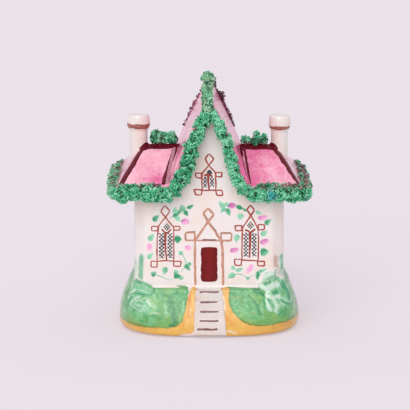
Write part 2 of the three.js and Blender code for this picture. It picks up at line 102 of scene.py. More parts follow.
def ripples(points, size, seed, waves=16):
    """Smooth unevenness, mostly between -1 and 1, in bumps about size mm across."""
    draw = np.random.default_rng(seed)
    ways = draw.normal(size=(waves, 3))
    ways /= np.linalg.norm(ways, axis=1, keepdims=True)
    paces = TAU / (size * draw.uniform(1.4, 3.4, waves))
    phases = draw.uniform(0, TAU, waves)
    return np.sin(points @ (ways * paces[:, None]).T + phases).sum(-1) * 0.62 / math.sqrt(waves / 2)


def smooth_step(value, low, high):
    share = np.clip((value - low) / (high - low), 0, 1)
    return share * share * (3 - 2 * share)


def between(value, start, full, fade, end):
    """1 from full to fade, and softly down to 0 at start and at end."""
    return smooth_step(value, start, full) * (1 - smooth_step(value, fade, end))


def lerp(first, last, share):
    return first + (last - first) * share


def unit(vectors):
    return vectors / np.maximum(np.linalg.norm(vectors, axis=-1, keepdims=True), 1e-12)


# Meshes.
def add_object(name, data):
    made = bpy.data.objects.new(name, data)
    bpy.context.scene.collection.objects.link(made)
    return made


class Clay:
    """Points, faces and per-point values of one piece, gathered a part at a time."""

    def __init__(self):
        self.points, self.quads, self.tris, self.values, self.count = [], [], [], {}, 0

    def add(self, points, quads, tris=(), **values):
        points = np.asarray(points, float).reshape(-1, 3)
        self.points.append(points)
        self.quads.append(np.asarray(quads, int).reshape(-1, 4) + self.count)
        self.tris.append(np.asarray(tris, int).reshape(-1, 3) + self.count)
        for name, value in values.items():
            spread = np.broadcast_to(np.asarray(value, float).reshape(-1), (len(points),))
            self.values.setdefault(name, []).append(spread)
        self.count += len(points)

    def piece(self, name, shop, nodes=(), slot=None, crease=38):
        """Makes the piece, which rides on the body and stands for the CAD nodes that it names."""
        points, quads = np.concatenate(self.points) * MM, np.concatenate(self.quads)
        tris = np.concatenate(self.tris)
        mesh = bpy.data.meshes.new(name)
        mesh.vertices.add(len(points))
        mesh.vertices.foreach_set("co", points.astype(np.float32).ravel())
        mesh.loops.add(quads.size + tris.size)
        mesh.loops.foreach_set("vertex_index", np.concatenate([quads.ravel(), tris.ravel()]).astype(np.int32))
        starts = np.concatenate([np.arange(len(quads)) * 4, quads.size + np.arange(len(tris)) * 3])
        mesh.polygons.add(len(starts))
        mesh.polygons.foreach_set("loop_start", starts.astype(np.int32))
        mesh.update(calc_edges=True)
        for value_name, parts in self.values.items():
            layer = mesh.attributes.new(value_name, "FLOAT", "POINT")
            layer.data.foreach_set("value", np.concatenate(parts).astype(np.float32))
        mesh.shade_smooth()
        mesh.set_sharp_from_angle(angle=math.radians(crease))
        mesh.materials.append(shop.owner)
        piece = add_object(name, mesh)
        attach(piece, "root")
        if nodes:
            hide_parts(*nodes)


def grid_quads(rows, columns, wrap=False, flip=False):
    """The faces of a grid of points, joined up round its columns if it wraps."""
    number = np.arange(rows * columns).reshape(rows, columns)
    if wrap:
        number = np.concatenate([number, number[:, :1]], axis=1)
    corners = (number[:-1, :-1], number[:-1, 1:], number[1:, 1:], number[1:, :-1])
    quads = np.stack(corners, -1).reshape(-1, 4)
    return quads[:, ::-1] if flip else quads


def add_sheet(clay, outer, inner, **values):
    """Closes two equal grids of points into one skin: an outer face, an inner face and a rim."""
    rows, columns = outer.shape[:2]
    number = np.arange(rows * columns).reshape(rows, columns)
    rim = np.concatenate([number[0, :-1], number[:-1, -1], number[-1, :0:-1], number[:0:-1, 0]])
    after = np.roll(rim, -1)
    below = rows * columns
    side = np.stack([rim, rim + below, after + below, after], -1)
    face = grid_quads(rows, columns)
    quads = np.concatenate([face, face[:, ::-1] + below, side])
    spread = {}
    for name, value in values.items():
        spread[name] = np.tile(np.broadcast_to(value, (rows, columns)).ravel(), 2)
    spread["face"] = np.repeat([1.0, 0.0], below)
    clay.add(np.concatenate([outer.reshape(-1, 3), inner.reshape(-1, 3)]), quads, **spread)


def add_tubes(clay, rings, **values):
    """Closes stacks of rings into tubes; rings is tubes x rings x sides x 3."""
    tubes, count, sides = rings.shape[:3]
    one = grid_quads(count, sides, wrap=True)
    fan = np.array([[0, i + 1, i] for i in range(1, sides - 1)])
    caps = np.concatenate([fan, fan[:, ::-1] + (count - 1) * sides])
    first = (np.arange(tubes) * count * sides)[:, None, None]
    spread = {name: np.broadcast_to(value, (tubes, count, sides)).ravel() for name, value in values.items()}
    clay.add(rings.reshape(-1, 3), (one + first).reshape(-1, 4), (caps + first).reshape(-1, 3), **spread)


# Paths and strokes of the brush.
def soften(corners, reach, closed=False):
    """The path through the corners, with each corner turned into a short curve."""
    corners = np.asarray(corners, float)
    count = len(corners)
    path = []
    for i, corner in enumerate(corners):
        if not closed and i in (0, count - 1):
            path.append(corner[None])
            continue
        legs = [corners[(i - 1) % count] - corner, corners[(i + 1) % count] - corner]
        start, end = (corner + leg * min(reach / max(np.linalg.norm(leg), 1e-9), 0.48) for leg in legs)
        share = np.linspace(0, 1, 7)[:, None]
        path.append((1 - share) ** 2 * start + 2 * share * (1 - share) * corner + share ** 2 * end)
    path = np.concatenate(path)
    return np.concatenate([path, path[:1]]) if closed else path


def lengths_along(path):
    """The length from a path's start to each of its points."""
    return np.concatenate([[0], np.cumsum(np.linalg.norm(np.diff(path, axis=0), axis=1))])


def place_at(places, along, path):
    """The points that lie at the given lengths along a path."""
    return np.stack([np.interp(places, along, path[:, axis]) for axis in range(path.shape[1])], -1)


def evenly(path, spacing):
    """The path with its points about spacing apart."""
    along = lengths_along(path)
    return place_at(np.linspace(0, along[-1], max(3, math.ceil(along[-1] / spacing) + 1)), along, path)


def tangents(surface, spots, tip=0.04):
    """How a surface runs at its spots, in each of its own two directions."""
    return [(surface(spots + way) - surface(spots - way)) / (2 * tip) for way in np.eye(2) * tip]


def leaf_width(share):
    """Half-width along a leaf: round at the stalk, pointed at the tip."""
    return np.sin(math.pi * share ** 0.72) ** 0.62 * (1 - 0.2 * share)


def petal_width(share):
    """Half-width along a petal, which is full and blunt."""
    return np.sqrt(np.clip(1 - np.abs(2 * share - 1) ** 2.6, 0, 1))


def panel_width(share):
    """Half-width along a panel with slightly rounded corners."""
    return np.clip(1 - np.abs(2 * share - 1) ** 18, 0, 1) ** 0.3


STROKE_SUNK = -0.1  # how deep a stroke's underside lies in the glaze


def add_stroke(clay, surface, corners, width, rise=0.07, closed=False, bend=0.5, outline=None,
               dome=2.0, seed=0, shake=0.06, strips=5, spacing=0.3, tint=0.5):
    """A low, domed band of enamel along a path on a surface."""
    path = evenly(soften(corners, bend, closed), spacing)
    if closed:
        path = path[:-1]
    count = len(path)
    flat = np.pad(path, ((0, 0), (0, 1)))
    path = path + shake * np.stack([ripples(flat, 2.2, seed + 5), ripples(flat, 2.2, seed + 6)], -1)
    if closed:
        heading = np.roll(path, -1, axis=0) - np.roll(path, 1, axis=0)
    else:
        heading = np.gradient(path, axis=0)
    first, second = tangents(surface, path)
    normal = unit(np.cross(first, second))
    lead = unit(first * heading[:, :1] + second * heading[:, 1:])
    both = np.stack([first, second], -2)
    across = np.linalg.solve(both @ both.swapaxes(1, 2), both @ np.cross(normal, lead)[..., None])[..., 0]
    share = np.arange(count) / (count if closed else count - 1)
    if outline is not None:
        girth = np.maximum(outline(share), 0.03)
    elif closed:
        girth = np.ones(count)
    else:
        reach = np.minimum(share, 1 - share) * (count - 1) * spacing / (0.5 * width)
        girth = np.maximum(np.sqrt(1 - (1 - np.clip(reach, 0, 1)) ** 2), 0.1)
    girth = girth * (1 + (0.16 if outline is None else 0.05) * ripples(flat, 1.7, seed + 9))
    places = np.linspace(-1, 1, strips + 2)
    heights = np.append(rise * (1 - np.abs(places) ** dome), [STROKE_SUNK, STROKE_SUNK])
    places = np.append(places, [1.0, -1.0])
    beside = 0.5 * width * girth[:, None] * places
    spots = surface((path[:, None] + across[:, None] * beside[..., None]).reshape(-1, 2))
    lift = heights * np.where(heights > 0, np.minimum(1, 0.4 + 0.6 * girth[:, None]), 1)
    rings = spots.reshape(count, -1, 3) + normal[:, None] * lift[..., None]
    if closed:
        quads = grid_quads(count + 1, len(places), wrap=True, flip=True) % (count * len(places))
        clay.add(rings, quads, across=np.tile(places, count), along=np.repeat(share, len(places)), tint=tint)
    else:
        add_tubes(clay, rings[None, :, ::-1], across=places[::-1], along=share[:, None], tint=tint)


# Materials.
class Wire:
    """A number socket; arithmetic on it adds Math nodes to its material."""

    def __init__(self, shop, socket):
        self.shop, self.socket = shop, socket

    def math(self, operation, *others):
        inputs = dict(enumerate([self, *others]))
        return self.shop.node("Math", {"operation": operation}, inputs)

    def __add__(self, other):
        return self.math("ADD", other)

    def __sub__(self, other):
        return self.math("SUBTRACT", other)

    def __mul__(self, other):
        return self.math("MULTIPLY", other)

    def __rsub__(self, other):
        return self.shop.node("Math", {"operation": "SUBTRACT"}, {0: other, 1: self})

    __radd__ = __add__
    __rmul__ = __mul__

    def size(self):
        return self.math("ABSOLUTE")

    def ramp(self, low, high, first=0.0, last=1.0):
        """A smooth rise from first to last as the value goes from low to high."""
        return self.shop.node(
            "MapRange", {"interpolation_type": "SMOOTHSTEP"},
            {"Value": self, "From Min": low, "From Max": high, "To Min": first, "To Max": last})


class Shop:
    """The nodes of one material, or of the studio's air. Sizes in it are millimetres on the object."""

    def __init__(self, name, store=bpy.data.materials):
        self.owner = store.new(name)
        self.owner.use_nodes = True
        self.tree = self.owner.node_tree
        self.tree.nodes.clear()

    @cached_property
    def place(self):
        """Where a point lies on the object."""
        place = self.node("TexCoord", output="Object")
        return self.node("VectorMath", {"operation": "SCALE"}, {0: place, "Scale": 1 / MM})

    def node(self, kind, settings=None, inputs=None, output=0):
        made = self.tree.nodes.new("ShaderNode" + kind)
        for name, value in (settings or {}).items():
            setattr(made, name, value)
        for name, value in (inputs or {}).items():
            socket = made.inputs[name]
            if isinstance(value, Wire):
                self.tree.links.new(value.socket, socket)
            elif isinstance(value, (tuple, list)) and len(value) == 3 and socket.type == "RGBA":
                socket.default_value = (*value, 1.0)
            else:
                socket.default_value = value
        return Wire(self, made.outputs[output]) if len(made.outputs) else None

    def value(self, name):
        """A value that the mesh's points carry."""
        return self.node("Attribute", {"attribute_name": name}, output="Fac")

    def noise(self, size, seed=0.0, detail=3.0, rough=0.55, stretch=(1, 1, 1), twist=0.0):
        """Cloudy noise about size mm across, from 0 to 1, in spots drawn out by stretch."""
        place = self.place
        if stretch != (1, 1, 1):
            place = self.node("VectorMath", {"operation": "MULTIPLY"}, {0: place, 1: stretch})
        return self.node(
            "TexNoise", {"noise_dimensions": "4D"},
            {"Vector": place, "W": seed, "Scale": 1 / size, "Detail": detail, "Roughness": rough,
             "Distortion": twist}, "Fac")

    def mix(self, factor, first, second, blend="MIX"):
        """A colour between two colours."""
        return self.node(
            "Mix", {"data_type": "RGBA", "blend_type": blend, "clamp_factor": True},
            {0: factor, 6: first, 7: second}, 2)

    def wash(self, color, name, wander, low, high, strength, tint):
        """The colour under a wash that lies where the value name says, its edge wandering."""
        return self.mix((self.value(name) + wander).ramp(low, high) * strength, color, tint)

    def bump(self, height, depth, before=None):
        """The normal over a height from 0 to 1 that stands for depth mm."""
        inputs = {"Height": height, "Distance": depth * MM, "Strength": 1.0}
        if before is not None:
            inputs["Normal"] = before
        return self.node("Bump", {}, inputs, "Normal")

    def glaze(self, color, roughness=0.2, normal=None, coat=0.0, ior=1.5):
        """Ends the material as glazed pottery."""
        inputs = {"Base Color": color, "Roughness": roughness, "IOR": ior, "Coat Weight": coat,
                  "Coat Roughness": 0.06}
        if normal is not None:
            inputs |= {"Normal": normal, "Coat Normal": normal}
        shader = self.node("BsdfPrincipled", {}, inputs, "BSDF")
        self.node("OutputMaterial", {}, {"Surface": shader})
        return self


def srgb(red, green, blue):
    """A colour as it reads on a screen, turned into the renderer's numbers."""
    shares = (part / 255 for part in (red, green, blue))
    return tuple(part / 12.92 if part <= 0.04045 else ((part + 0.055) / 1.055) ** 2.4 for part in shares)


WHITE = srgb(237, 231, 228)
WHITE_WARM = srgb(237, 223, 213)
WHITE_COOL = srgb(230, 224, 226)
SPECK_SPACING = 5.5


def bare_white(shop, size):
    """White glaze, warmer where it is thin, in clouds about size mm across."""
    return shop.mix(shop.noise(size, 1.0).ramp(0.42, 0.66), WHITE, WHITE_WARM)


def white_colour(shop, shade=None):
    """White glaze: a little warm where it is thin and cool where it pools, with a few iron specks."""
    base = shop.mix(shop.noise(6, 2.0).ramp(0.5, 0.75, 0, 0.6), bare_white(shop, 14), WHITE_COOL)
    cells = {"Vector": shop.place, "Scale": 1 / SPECK_SPACING, "Randomness": 1.0}
    speck, chance = (shop.node("TexVoronoi", {"feature": "F1"}, cells, out) for out in ("Distance", "Color"))
    pick = shop.node("SeparateXYZ", {}, {0: chance}, "X")
    dot = speck.ramp(0.018, 0.034, 1, 0) * pick.ramp(0.86, 0.9)
    base = shop.mix(dot * 0.75, base, srgb(120, 95, 80))
    return shop.mix(1.0, base, shade, "MULTIPLY") if shade else base


def white_relief(shop):
    """Orange peel and finger marks in the glaze."""
    fine = shop.bump(shop.noise(1.1, 5.0, detail=2), 0.02)
    return shop.bump(shop.noise(7, 6.0, detail=2), 0.35, fine)


def white_finish(shop, color):
    return shop.glaze(color, 0.16, white_relief(shop), coat=0.3)


def stair_glaze():
    """White glaze darkened all over on the steps: painted shade."""
    shop = Shop("stair_white")
    return white_finish(shop, white_colour(shop, (0.87, 0.865, 0.85)))


def wall_glaze():
    """White glaze with soft washes of green and brown up the corners; the brown is a stain, with a fainter
    streak above it that is painted shade on the canted corner.
    """
    shop = Shop("wall_glaze")
    wander = (shop.noise(1.7, 8.8, detail=4) - 0.5) * 0.9
    green, brown = shop.value("green"), shop.value("brown")
    brown = (brown + wander).ramp(0.1, 1.0, 0, 0.7) * brown.ramp(0.02, 0.3)
    green = (green + wander).ramp(0.05, 0.95, 0, 0.9) * green.ramp(0.02, 0.25)
    tone = (shop.noise(3.2, 5.9, detail=4) + (green - 0.6) * 0.5).ramp(0.35, 0.75)
    color = shop.mix(brown, white_colour(shop), srgb(188, 138, 120))
    color = shop.mix(green, color, shop.mix(tone, srgb(160, 216, 186), srgb(84, 170, 124)))
    return white_finish(shop, color)


def chimney_glaze():
    """White glaze with a blush of the roof's pink round the foot of the stack."""
    shop = Shop("chimney_glaze")
    blush = (shop.value("rosy") + (shop.noise(2.2, 4.8, detail=4) - 0.5) * 0.6).ramp(0.25, 1.0, 0, 0.5)
    color = shop.mix(blush, white_colour(shop, (0.96, 0.98, 0.97)), srgb(240, 188, 206))
    return white_finish(shop, color)


def enamel(name, pale, deep, roughness=0.2, coat=0.2, clear=0.0, ior=1.5):
    """Enamel put on with a brush: thin in the middle of a line, darker at its edges."""
    shop = Shop(name)
    edge = shop.value("across").size()
    tone = shop.value("tint") + shop.noise(0.9, 3.3) * 1.1 - 0.8
    depth = (tone + edge * 0.3).ramp(0.0, 0.9)
    color = shop.mix(depth, pale, deep)
    if clear:
        color = shop.mix(shop.noise(1.6, 8.1).ramp(0.45, 0.75) * clear, color, WHITE)
    return shop.glaze(color, roughness, shop.bump(shop.noise(0.6, 2.2), 0.015), coat=coat, ior=ior)


def brushed(name, pale, deep, thin):
    """A dab of translucent colour, thin at its edges, from a brush loaded deeper on one side."""
    shop = Shop(name)
    across, along, tint = (shop.value(each) for each in ("across", "along", "tint"))
    cloud = shop.noise(1.5, 1.7, detail=4, twist=0.5)
    load = tint * 1.25 - along * 0.35 + across * 0.3 + cloud * 1.3 - 0.8
    body = shop.mix(load.ramp(0.0, 0.85), pale, deep)
    fade = across.size().ramp(0.3, 1.0, 0, 0.95) + along.ramp(0.5, 1.0, 0, 0.45)
    fade = fade + along.ramp(0.0, 0.15, 0.35, 0)
    wash = fade + (shop.noise(0.9, 4.4, detail=4) - 0.5) * 1.2 + thin
    color = shop.mix(wash.ramp(0.05, 0.95), body, WHITE)
    return shop.glaze(color, 0.17, shop.bump(shop.noise(0.8, 2.2), 0.015), coat=0.2)


def grass_colour(shop):
    """Green wash over white, worked wet with a small brush, and how thickly it lies."""
    cloud = shop.noise(4.6, 6.1, detail=5, rough=0.6, twist=1.4)
    streak = shop.noise(1.5, 6.7, detail=4, stretch=(0.55, 0.7, 1.35), twist=0.8)
    fine = shop.noise(0.8, 4.9, detail=4, rough=0.65, stretch=(0.8, 0.8, 1.3), twist=1.2)
    depth = (cloud * 1.8 + streak * 0.8 + fine * 0.7 - 1.22).ramp(0.0, 0.85)
    color = shop.mix(depth, srgb(127, 197, 136), srgb(52, 149, 82))
    light = shop.noise(3.0, 9.2, detail=5, twist=2.0) * 1.2 + streak * 0.4 + fine * 0.25
    return shop.mix(light.ramp(1.0, 1.26) * 0.55, color, srgb(196, 228, 188)), depth


def mound_glaze():
    """Green and ochre washes over white, mottled by the brush, each darker where its edge pooled."""
    shop = Shop("mound_washes")
    ragged = (shop.noise(2.4, 1.1, detail=4) - 0.5) * 1.8 + (shop.noise(0.7, 2.1) - 0.5) * 0.7
    green = shop.value("green") + ragged
    ochre = shop.value("ochre") + ragged * 0.8
    wander = (shop.noise(1.6, 8.8, detail=3) - 0.5) * 0.8

    thick = shop.noise(4.5, 3.7, detail=4, twist=0.6) * 1.3 + shop.noise(1.3, 3.9) * 0.5 - 0.55
    path = shop.mix(thick.ramp(0, 1), srgb(230, 186, 94), srgb(216, 150, 46))
    path = shop.wash(path, "rich", wander * 0.6, 0.2, 0.9, 1.0, srgb(216, 140, 24))
    path = shop.mix(ochre.ramp(0.0, 1.0, 0.45, 0), path, srgb(220, 132, 42))
    bare = (shop.value("bare") + wander * 0.6).ramp(0.2, 0.8) * 0.75
    laid = ochre.ramp(-0.25, 0.35) * shop.value("ochre_body") * (1 - bare)
    color = shop.mix(laid, bare_white(shop, 10), path)

    grass, depth = grass_colour(shop)
    low = shop.node("SeparateXYZ", {}, {0: shop.place}, "Z").ramp(5.0, 15.0, 1, 0)
    sappy = (shop.noise(6, 12.5, detail=3) + low * 0.16).ramp(0.5, 0.72, 0, 0.55)
    grass = shop.mix(sappy, grass, srgb(134, 176, 78))
    grass = shop.wash(grass, "olive", wander, 0.15, 0.95, 0.85, srgb(126, 146, 40))
    # Deep green brushwork, with some strokes of painted shade by the left leaf.
    grass = shop.wash(grass, "deep", wander * 1.3, 0.15, 1.05, 0.85, srgb(24, 122, 70))
    # Pale streaks: thin green, and in places painted highlights.
    grass = shop.wash(grass, "pale", wander * 1.5, 0.1, 1.1, 0.75, srgb(200, 230, 196))
    pooled = green.ramp(0.1, 1.3, 1, 0) * shop.noise(5, 14.2).ramp(0.35, 0.62, 0.3, 0.95)
    grass = shop.mix(pooled, grass, shop.mix(low, srgb(40, 128, 62), srgb(112, 116, 22)))
    color = shop.mix(green.ramp(-0.12, 0.3) * shop.value("green_body"), color, grass)
    return shop.glaze(color, 0.17, shop.bump(depth, 0.05, white_relief(shop)), coat=0.35)


def shrub_glaze():
    """The mound's green wash, milky and deep by turns, running out into the white up the corner, with painted
    shade under the leaves and painted highlights on them.
    """
    shop = Shop("shrub_wash")
    color, depth = grass_colour(shop)
    wander = (shop.noise(1.8, 8.3, detail=5, twist=0.8) - 0.5) * 1.1
    milk = shop.noise(3.2, 5.7, detail=5, twist=1.5)
    color = shop.wash(color, "within", wander, 0.1, 0.9, 0.45, srgb(136, 206, 166))
    color = shop.mix((shop.value("within") * milk).ramp(0.42, 0.66, 0, 0.6), color, srgb(204, 230, 208))
    # Painted shade: darker green just under each leaf's lower edge.
    color = shop.wash(color, "crease", wander * 0.8, 0.3, 1.1, 0.5, srgb(44, 146, 94))
    # Pale strokes: thin glaze and painted highlights on the leaves.
    color = shop.wash(color, "pale", wander * 1.3, 0.0, 1.1, 0.85, srgb(218, 235, 222))
    # Deep strokes, some of them painted shade by the left leaf.
    color = shop.wash(color, "deep", wander, 0.1, 1.0, 0.88, srgb(34, 146, 98))
    color = shop.wash(color, "thin", wander, 0.0, 0.9, 1.0, WHITE)
    return shop.glaze(color, 0.17, shop.bump(depth, 0.05, white_relief(shop)), coat=0.35)


def pink_glaze():
    """Pink lustre brushed over white: granular, streaked down the slope."""
    shop = Shop("pink_lustre")
    cloud = shop.noise(5.5, 4.1, detail=4, twist=0.8)
    streak = shop.noise(1.8, 7.3, detail=4, stretch=(1.5, 0.45, 0.45), twist=0.5)
    load, rough = shop.value("load"), 1 - shop.value("even") * 0.75
    grain = (shop.noise(0.7, 2.5, detail=3) - 0.5) * rough + 0.5
    depth = (cloud * 0.9 + streak * 0.4 + grain * 0.6 + load - 1.05).ramp(0.0, 0.9)
    color = shop.mix(depth, srgb(250, 190, 208), srgb(230, 101, 157))
    hot = (cloud * 0.6 + grain * 0.8 + load * 0.4).ramp(0.86, 1.15, 0, 0.5)
    color = shop.mix(hot, color, srgb(220, 82, 144))
    pepper = shop.noise(0.5, 5.2, detail=2).ramp(0.56, 0.7, 0, 0.22)
    color = shop.mix(pepper * rough, color, srgb(206, 92, 140))
    speck = shop.noise(0.55, 6.6, detail=2, stretch=(1, 0.7, 0.7)) + (load - 0.5) * -0.2
    color = shop.mix(speck.ramp(0.54, 0.68, 0, 0.38) * rough, color, srgb(252, 218, 224))
    cover = (shop.value("cover") + (shop.noise(1.2, 3.0, detail=4) - 0.5) * 1.4).ramp(-0.1, 0.3)
    color = shop.mix(cover, bare_white(shop, 10), color)
    return shop.glaze(color, 0.2, shop.bump(grain, 0.03, white_relief(shop)), coat=0.25)


def crumb_glaze(name, dark, middle, tip, stain, faded):
    """Shredded clay under coloured glaze: dark in the gaps, as pooled glaze and painted shade, and pale at
    the strands' outer ends, as thin glaze and painted highlights.
    """
    shop = Shop(name)
    # rise carries painted light and shade from each strand's place in its clump.
    depth = shop.value("rise") + shop.value("tint") * 0.42 + shop.noise(2.6, 3.1) * 1.3 - 0.76
    color = shop.mix(depth.ramp(0.0, 0.5), dark, middle)
    color = shop.mix(depth.ramp(0.5, 1.1), color, tip)
    worn = (shop.value("worn") + (shop.noise(7, 7.7, detail=2) - 0.5) * 1.3).ramp(0.25, 0.95) * 0.85
    color = shop.mix(worn, color, shop.mix(depth.ramp(0.0, 0.95), *faded))
    soiled = (shop.value("stain") + (shop.noise(1.5, 5.5) - 0.5) * 1.1).ramp(0.35, 0.75)
    color = shop.mix(soiled, color, shop.mix(depth.ramp(0.1, 1.0), *stain))
    blue = shop.value("blue").ramp(0.2, 0.9) * 0.85
    color = shop.mix(blue, color, shop.mix(depth.ramp(0.0, 0.9), srgb(4, 96, 124), srgb(60, 184, 190)))
    return shop.glaze(color, 0.24, shop.bump(shop.noise(0.35, 9.0), 0.02), coat=0.3)


glazes = {
    "stair_white": stair_glaze(),
    "wall": wall_glaze(),
    "chimney": chimney_glaze(),
    "mound": mound_glaze(),
    "shrub": shrub_glaze(),
    "pink": pink_glaze(),
    "green": crumb_glaze(
        "green_crumbs", srgb(2, 78, 52), srgb(62, 184, 132), srgb(162, 233, 198),
        (srgb(66, 26, 36), srgb(156, 102, 112)), (srgb(50, 110, 76), srgb(170, 214, 172))),
    "dark": crumb_glaze(
        "dark_crumbs", srgb(56, 18, 34), srgb(122, 44, 76), srgb(186, 122, 146),
        (srgb(30, 60, 50), srgb(96, 132, 112)), (srgb(70, 40, 40), srgb(150, 110, 104))),
    "iron_red": enamel("iron_red_line", srgb(190, 84, 62), srgb(136, 36, 30)),
    "brown": enamel("brown_line", srgb(208, 156, 128), srgb(162, 98, 78), clear=0.15),
    "umber": enamel("umber_line", srgb(150, 112, 116), srgb(96, 60, 66)),
    "maroon": enamel("maroon_line", srgb(122, 22, 42), srgb(80, 6, 22), roughness=0.22, coat=0.0, ior=1.25),
    # Grey-mauve for the painted shade along the left valley.
    "valley_shade_line": enamel("valley_shade_line", srgb(196, 132, 152), srgb(134, 74, 90), clear=0.1),
    "black": enamel("black_lattice", srgb(66, 68, 78), srgb(24, 24, 30)),
    "door": enamel("door_red", srgb(130, 26, 24), srgb(88, 8, 12), roughness=0.22, coat=0.0, ior=1.3),
    "band": enamel("chimney_band", srgb(184, 112, 92), srgb(126, 60, 48), clear=0.12),
    "leaf": brushed("leaf_green", srgb(146, 214, 178), srgb(30, 148, 98), -0.2),
    "rose": brushed("rose_petal", srgb(246, 176, 218), srgb(190, 84, 160), -0.05),
    "bud": brushed("bud_shadow", srgb(120, 120, 160), srgb(74, 66, 104), -0.1),
}


# The house's outline in plan, with softly rounded corners.
def rounded_outline():
    half, deep, cut = HOUSE_HALF_WIDTH, HOUSE_HALF_DEPTH, CORNER_CUT
    right = [(half - cut, -deep), (half, cut - deep), (half, deep - cut), (half - cut, deep)]
    corners = right + [(-x, y) for x, y in right[::-1]]
    return soften([(0, -deep), *corners, (0, -deep)], 2.4)


OUTLINE = rounded_outline()
OUTLINE_ALONG = lengths_along(OUTLINE)
GIRTH = OUTLINE_ALONG[-1]


def outline_at(u):
    """Points and outward directions at arc lengths u round the walls, from the front's middle."""
    places = (np.mod(u + step, GIRTH) for step in (0, 0.35, -0.35))
    spot, after, before = (place_at(place, OUTLINE_ALONG, OUTLINE) for place in places)
    ahead = unit(after - before)
    return spot, np.stack([ahead[..., 1], -ahead[..., 0]], -1)


def wall_point(u, z, lift=0.0):
    """The wall's outer face, slightly uneven, at arc length u and height z."""
    plan, outward = outline_at(u)
    flat = np.concatenate([plan, np.asarray(z, float)[..., None]], -1)
    swell = 0.13 * ripples(flat, 15, 11) + 0.04 * ripples(flat, 4.5, 12) - 0.1 + lift
    flat[..., :2] += outward * swell[..., None]
    return flat


def on_wall(spots):
    return wall_point(spots[..., 0], spots[..., 1])


# The roof's top face: steep middle gable, two hipped wings, all softly joined.
def soft_size(value, ease):
    return np.sqrt(value * value + ease * ease)


def roof_top(x, y):
    """The height of the roof's top face over a place in plan."""
    wide = soft_size(x, 0.5) - 0.35
    over = wide - VALLEY_HEAD
    gable = GABLE_RIDGE - GABLE_PITCH * wide - GABLE_KICK * 0.5 * (over + soft_size(over, 1.0))
    front = WING_RIDGE - FRONT_PITCH * (soft_size(y, 1.6) - 0.9)
    end = EAVES + END_PITCH * (EAVES_HALF_WIDTH - np.abs(x))
    wing = 0.5 * (front + end - soft_size(front - end, 1.6)) + 0.25
    height = 0.5 * (gable + wing + soft_size(gable - wing, 1.2))
    place = np.stack(np.broadcast_arrays(x, y, 0 * height), -1)
    return height + 0.16 * ripples(place, 9, 21) + 0.05 * ripples(place, 3.5, 22) - 0.15


def on_roof(spots):
    x, y = spots[..., 0], spots[..., 1]
    return np.stack([x, y, roof_top(x, y)], -1)


def valley_x(y):
    """How far from the middle a valley lies, at y in plan."""
    return VALLEY_HEAD + (VALLEY_FOOT - VALLEY_HEAD) * np.abs(y) / EAVES_HALF_DEPTH


def hip_x(y):
    """How far from the middle a hip lies, at y in plan."""
    return WING_RIDGE_END + (EAVES_HALF_WIDTH - WING_RIDGE_END) * np.abs(y) / EAVES_HALF_DEPTH


def roof_drop(x, y):
    """How far the underside lies below the top face."""
    pitch = np.where(np.abs(x) < valley_x(y), GABLE_PITCH,
                     np.where(np.abs(x) < hip_x(y), FRONT_PITCH, END_PITCH))
    return ROOF_THICK * np.sqrt(1 + pitch * pitch)


# The bank of the mound.
def bank_point(angle, z, grow=0.0):
    """The bank's skin at an angle round it and height z, moved out by grow."""
    rise = np.clip((z - MOUND_WIDEST) / (MOUND_TOP - MOUND_WIDEST), 0, 1)
    bulge = 1 - rise ** BANK_BULGE
    under = np.clip(1 - z / MOUND_WIDEST, 0, 1)
    tuck = MOUND_TUCK * (1 - np.sqrt(1 - under ** 2))
    swell = np.sin(5 * angle) * np.cos(z / 5) + np.cos(8 * angle) * np.sin(z / 4)
    grown = grow - tuck + 2 * MOUND_UNEVEN * swell * rise * (1 - rise)
    half_width = lerp(MOUND_TOP_HALF_WIDTH, MOUND_HALF_WIDTH, bulge) + grown
    half_depth = lerp(MOUND_TOP_HALF_DEPTH, MOUND_HALF_DEPTH, bulge) + grown
    square = lerp(FOOT_SQUARE, TOP_SQUARE, rise)
    c = np.abs(np.cos(angle)) / half_width
    s = np.abs(np.sin(angle)) / half_depth
    reach = (c ** square + s ** square) ** (-1 / square)
    x, y = reach * np.cos(angle), reach * np.sin(angle)
    x = x * (1 - BACK_NARROWING * rise * smooth_step(y, -2, 14))
    return np.stack(np.broadcast_arrays(x, y, z), -1)


# The ground: mound, steps and corner shrubs.
ARC_LEVEL = 8.0  # the height at which lengths round the bank are measured


def bank_arcs():
    """Arc lengths round the bank for angles from its front's middle to its back's middle."""
    turns = np.linspace(0, math.pi, 721)
    return turns, lengths_along(bank_point(turns - math.pi / 2, np.full_like(turns, ARC_LEVEL)))


BANK_TURNS, BANK_ARCS = bank_arcs()


def bank_arc(angle):
    """The length round the bank, from its front's middle, to the right if positive."""
    turn = np.mod(angle + 1.5 * math.pi, TAU) - math.pi
    return np.sign(turn) * np.interp(np.abs(turn), BANK_TURNS, BANK_ARCS)


def bank_angle(arc):
    return np.sign(arc) * np.interp(np.abs(arc), BANK_ARCS, BANK_TURNS) - math.pi / 2


def inside_by(spots, outline):
    """How far each spot lies inside a closed outline; negative outside it."""
    outline = np.asarray(outline, float)
    start, end = outline, np.roll(outline, -1, axis=0)
    leg = end - start
    off = spots[:, None] - start[None]
    share = np.clip((off * leg).sum(-1) / (leg ** 2).sum(-1), 0, 1)
    gap = np.linalg.norm(off - share[..., None] * leg, axis=-1).min(axis=1)
    above = (start[None, :, 1] > spots[:, None, 1]) != (end[None, :, 1] > spots[:, None, 1])
    slope = np.where(np.abs(leg[:, 1]) < 1e-9, 1e-9, leg[:, 1])
    crossing = start[:, 0] + (spots[:, None, 1] - start[:, 1]) * leg[:, 0] / slope
    inside = (above & (spots[:, None, 0] < crossing)).sum(axis=1) % 2 == 1
    return np.where(inside, gap, -gap)


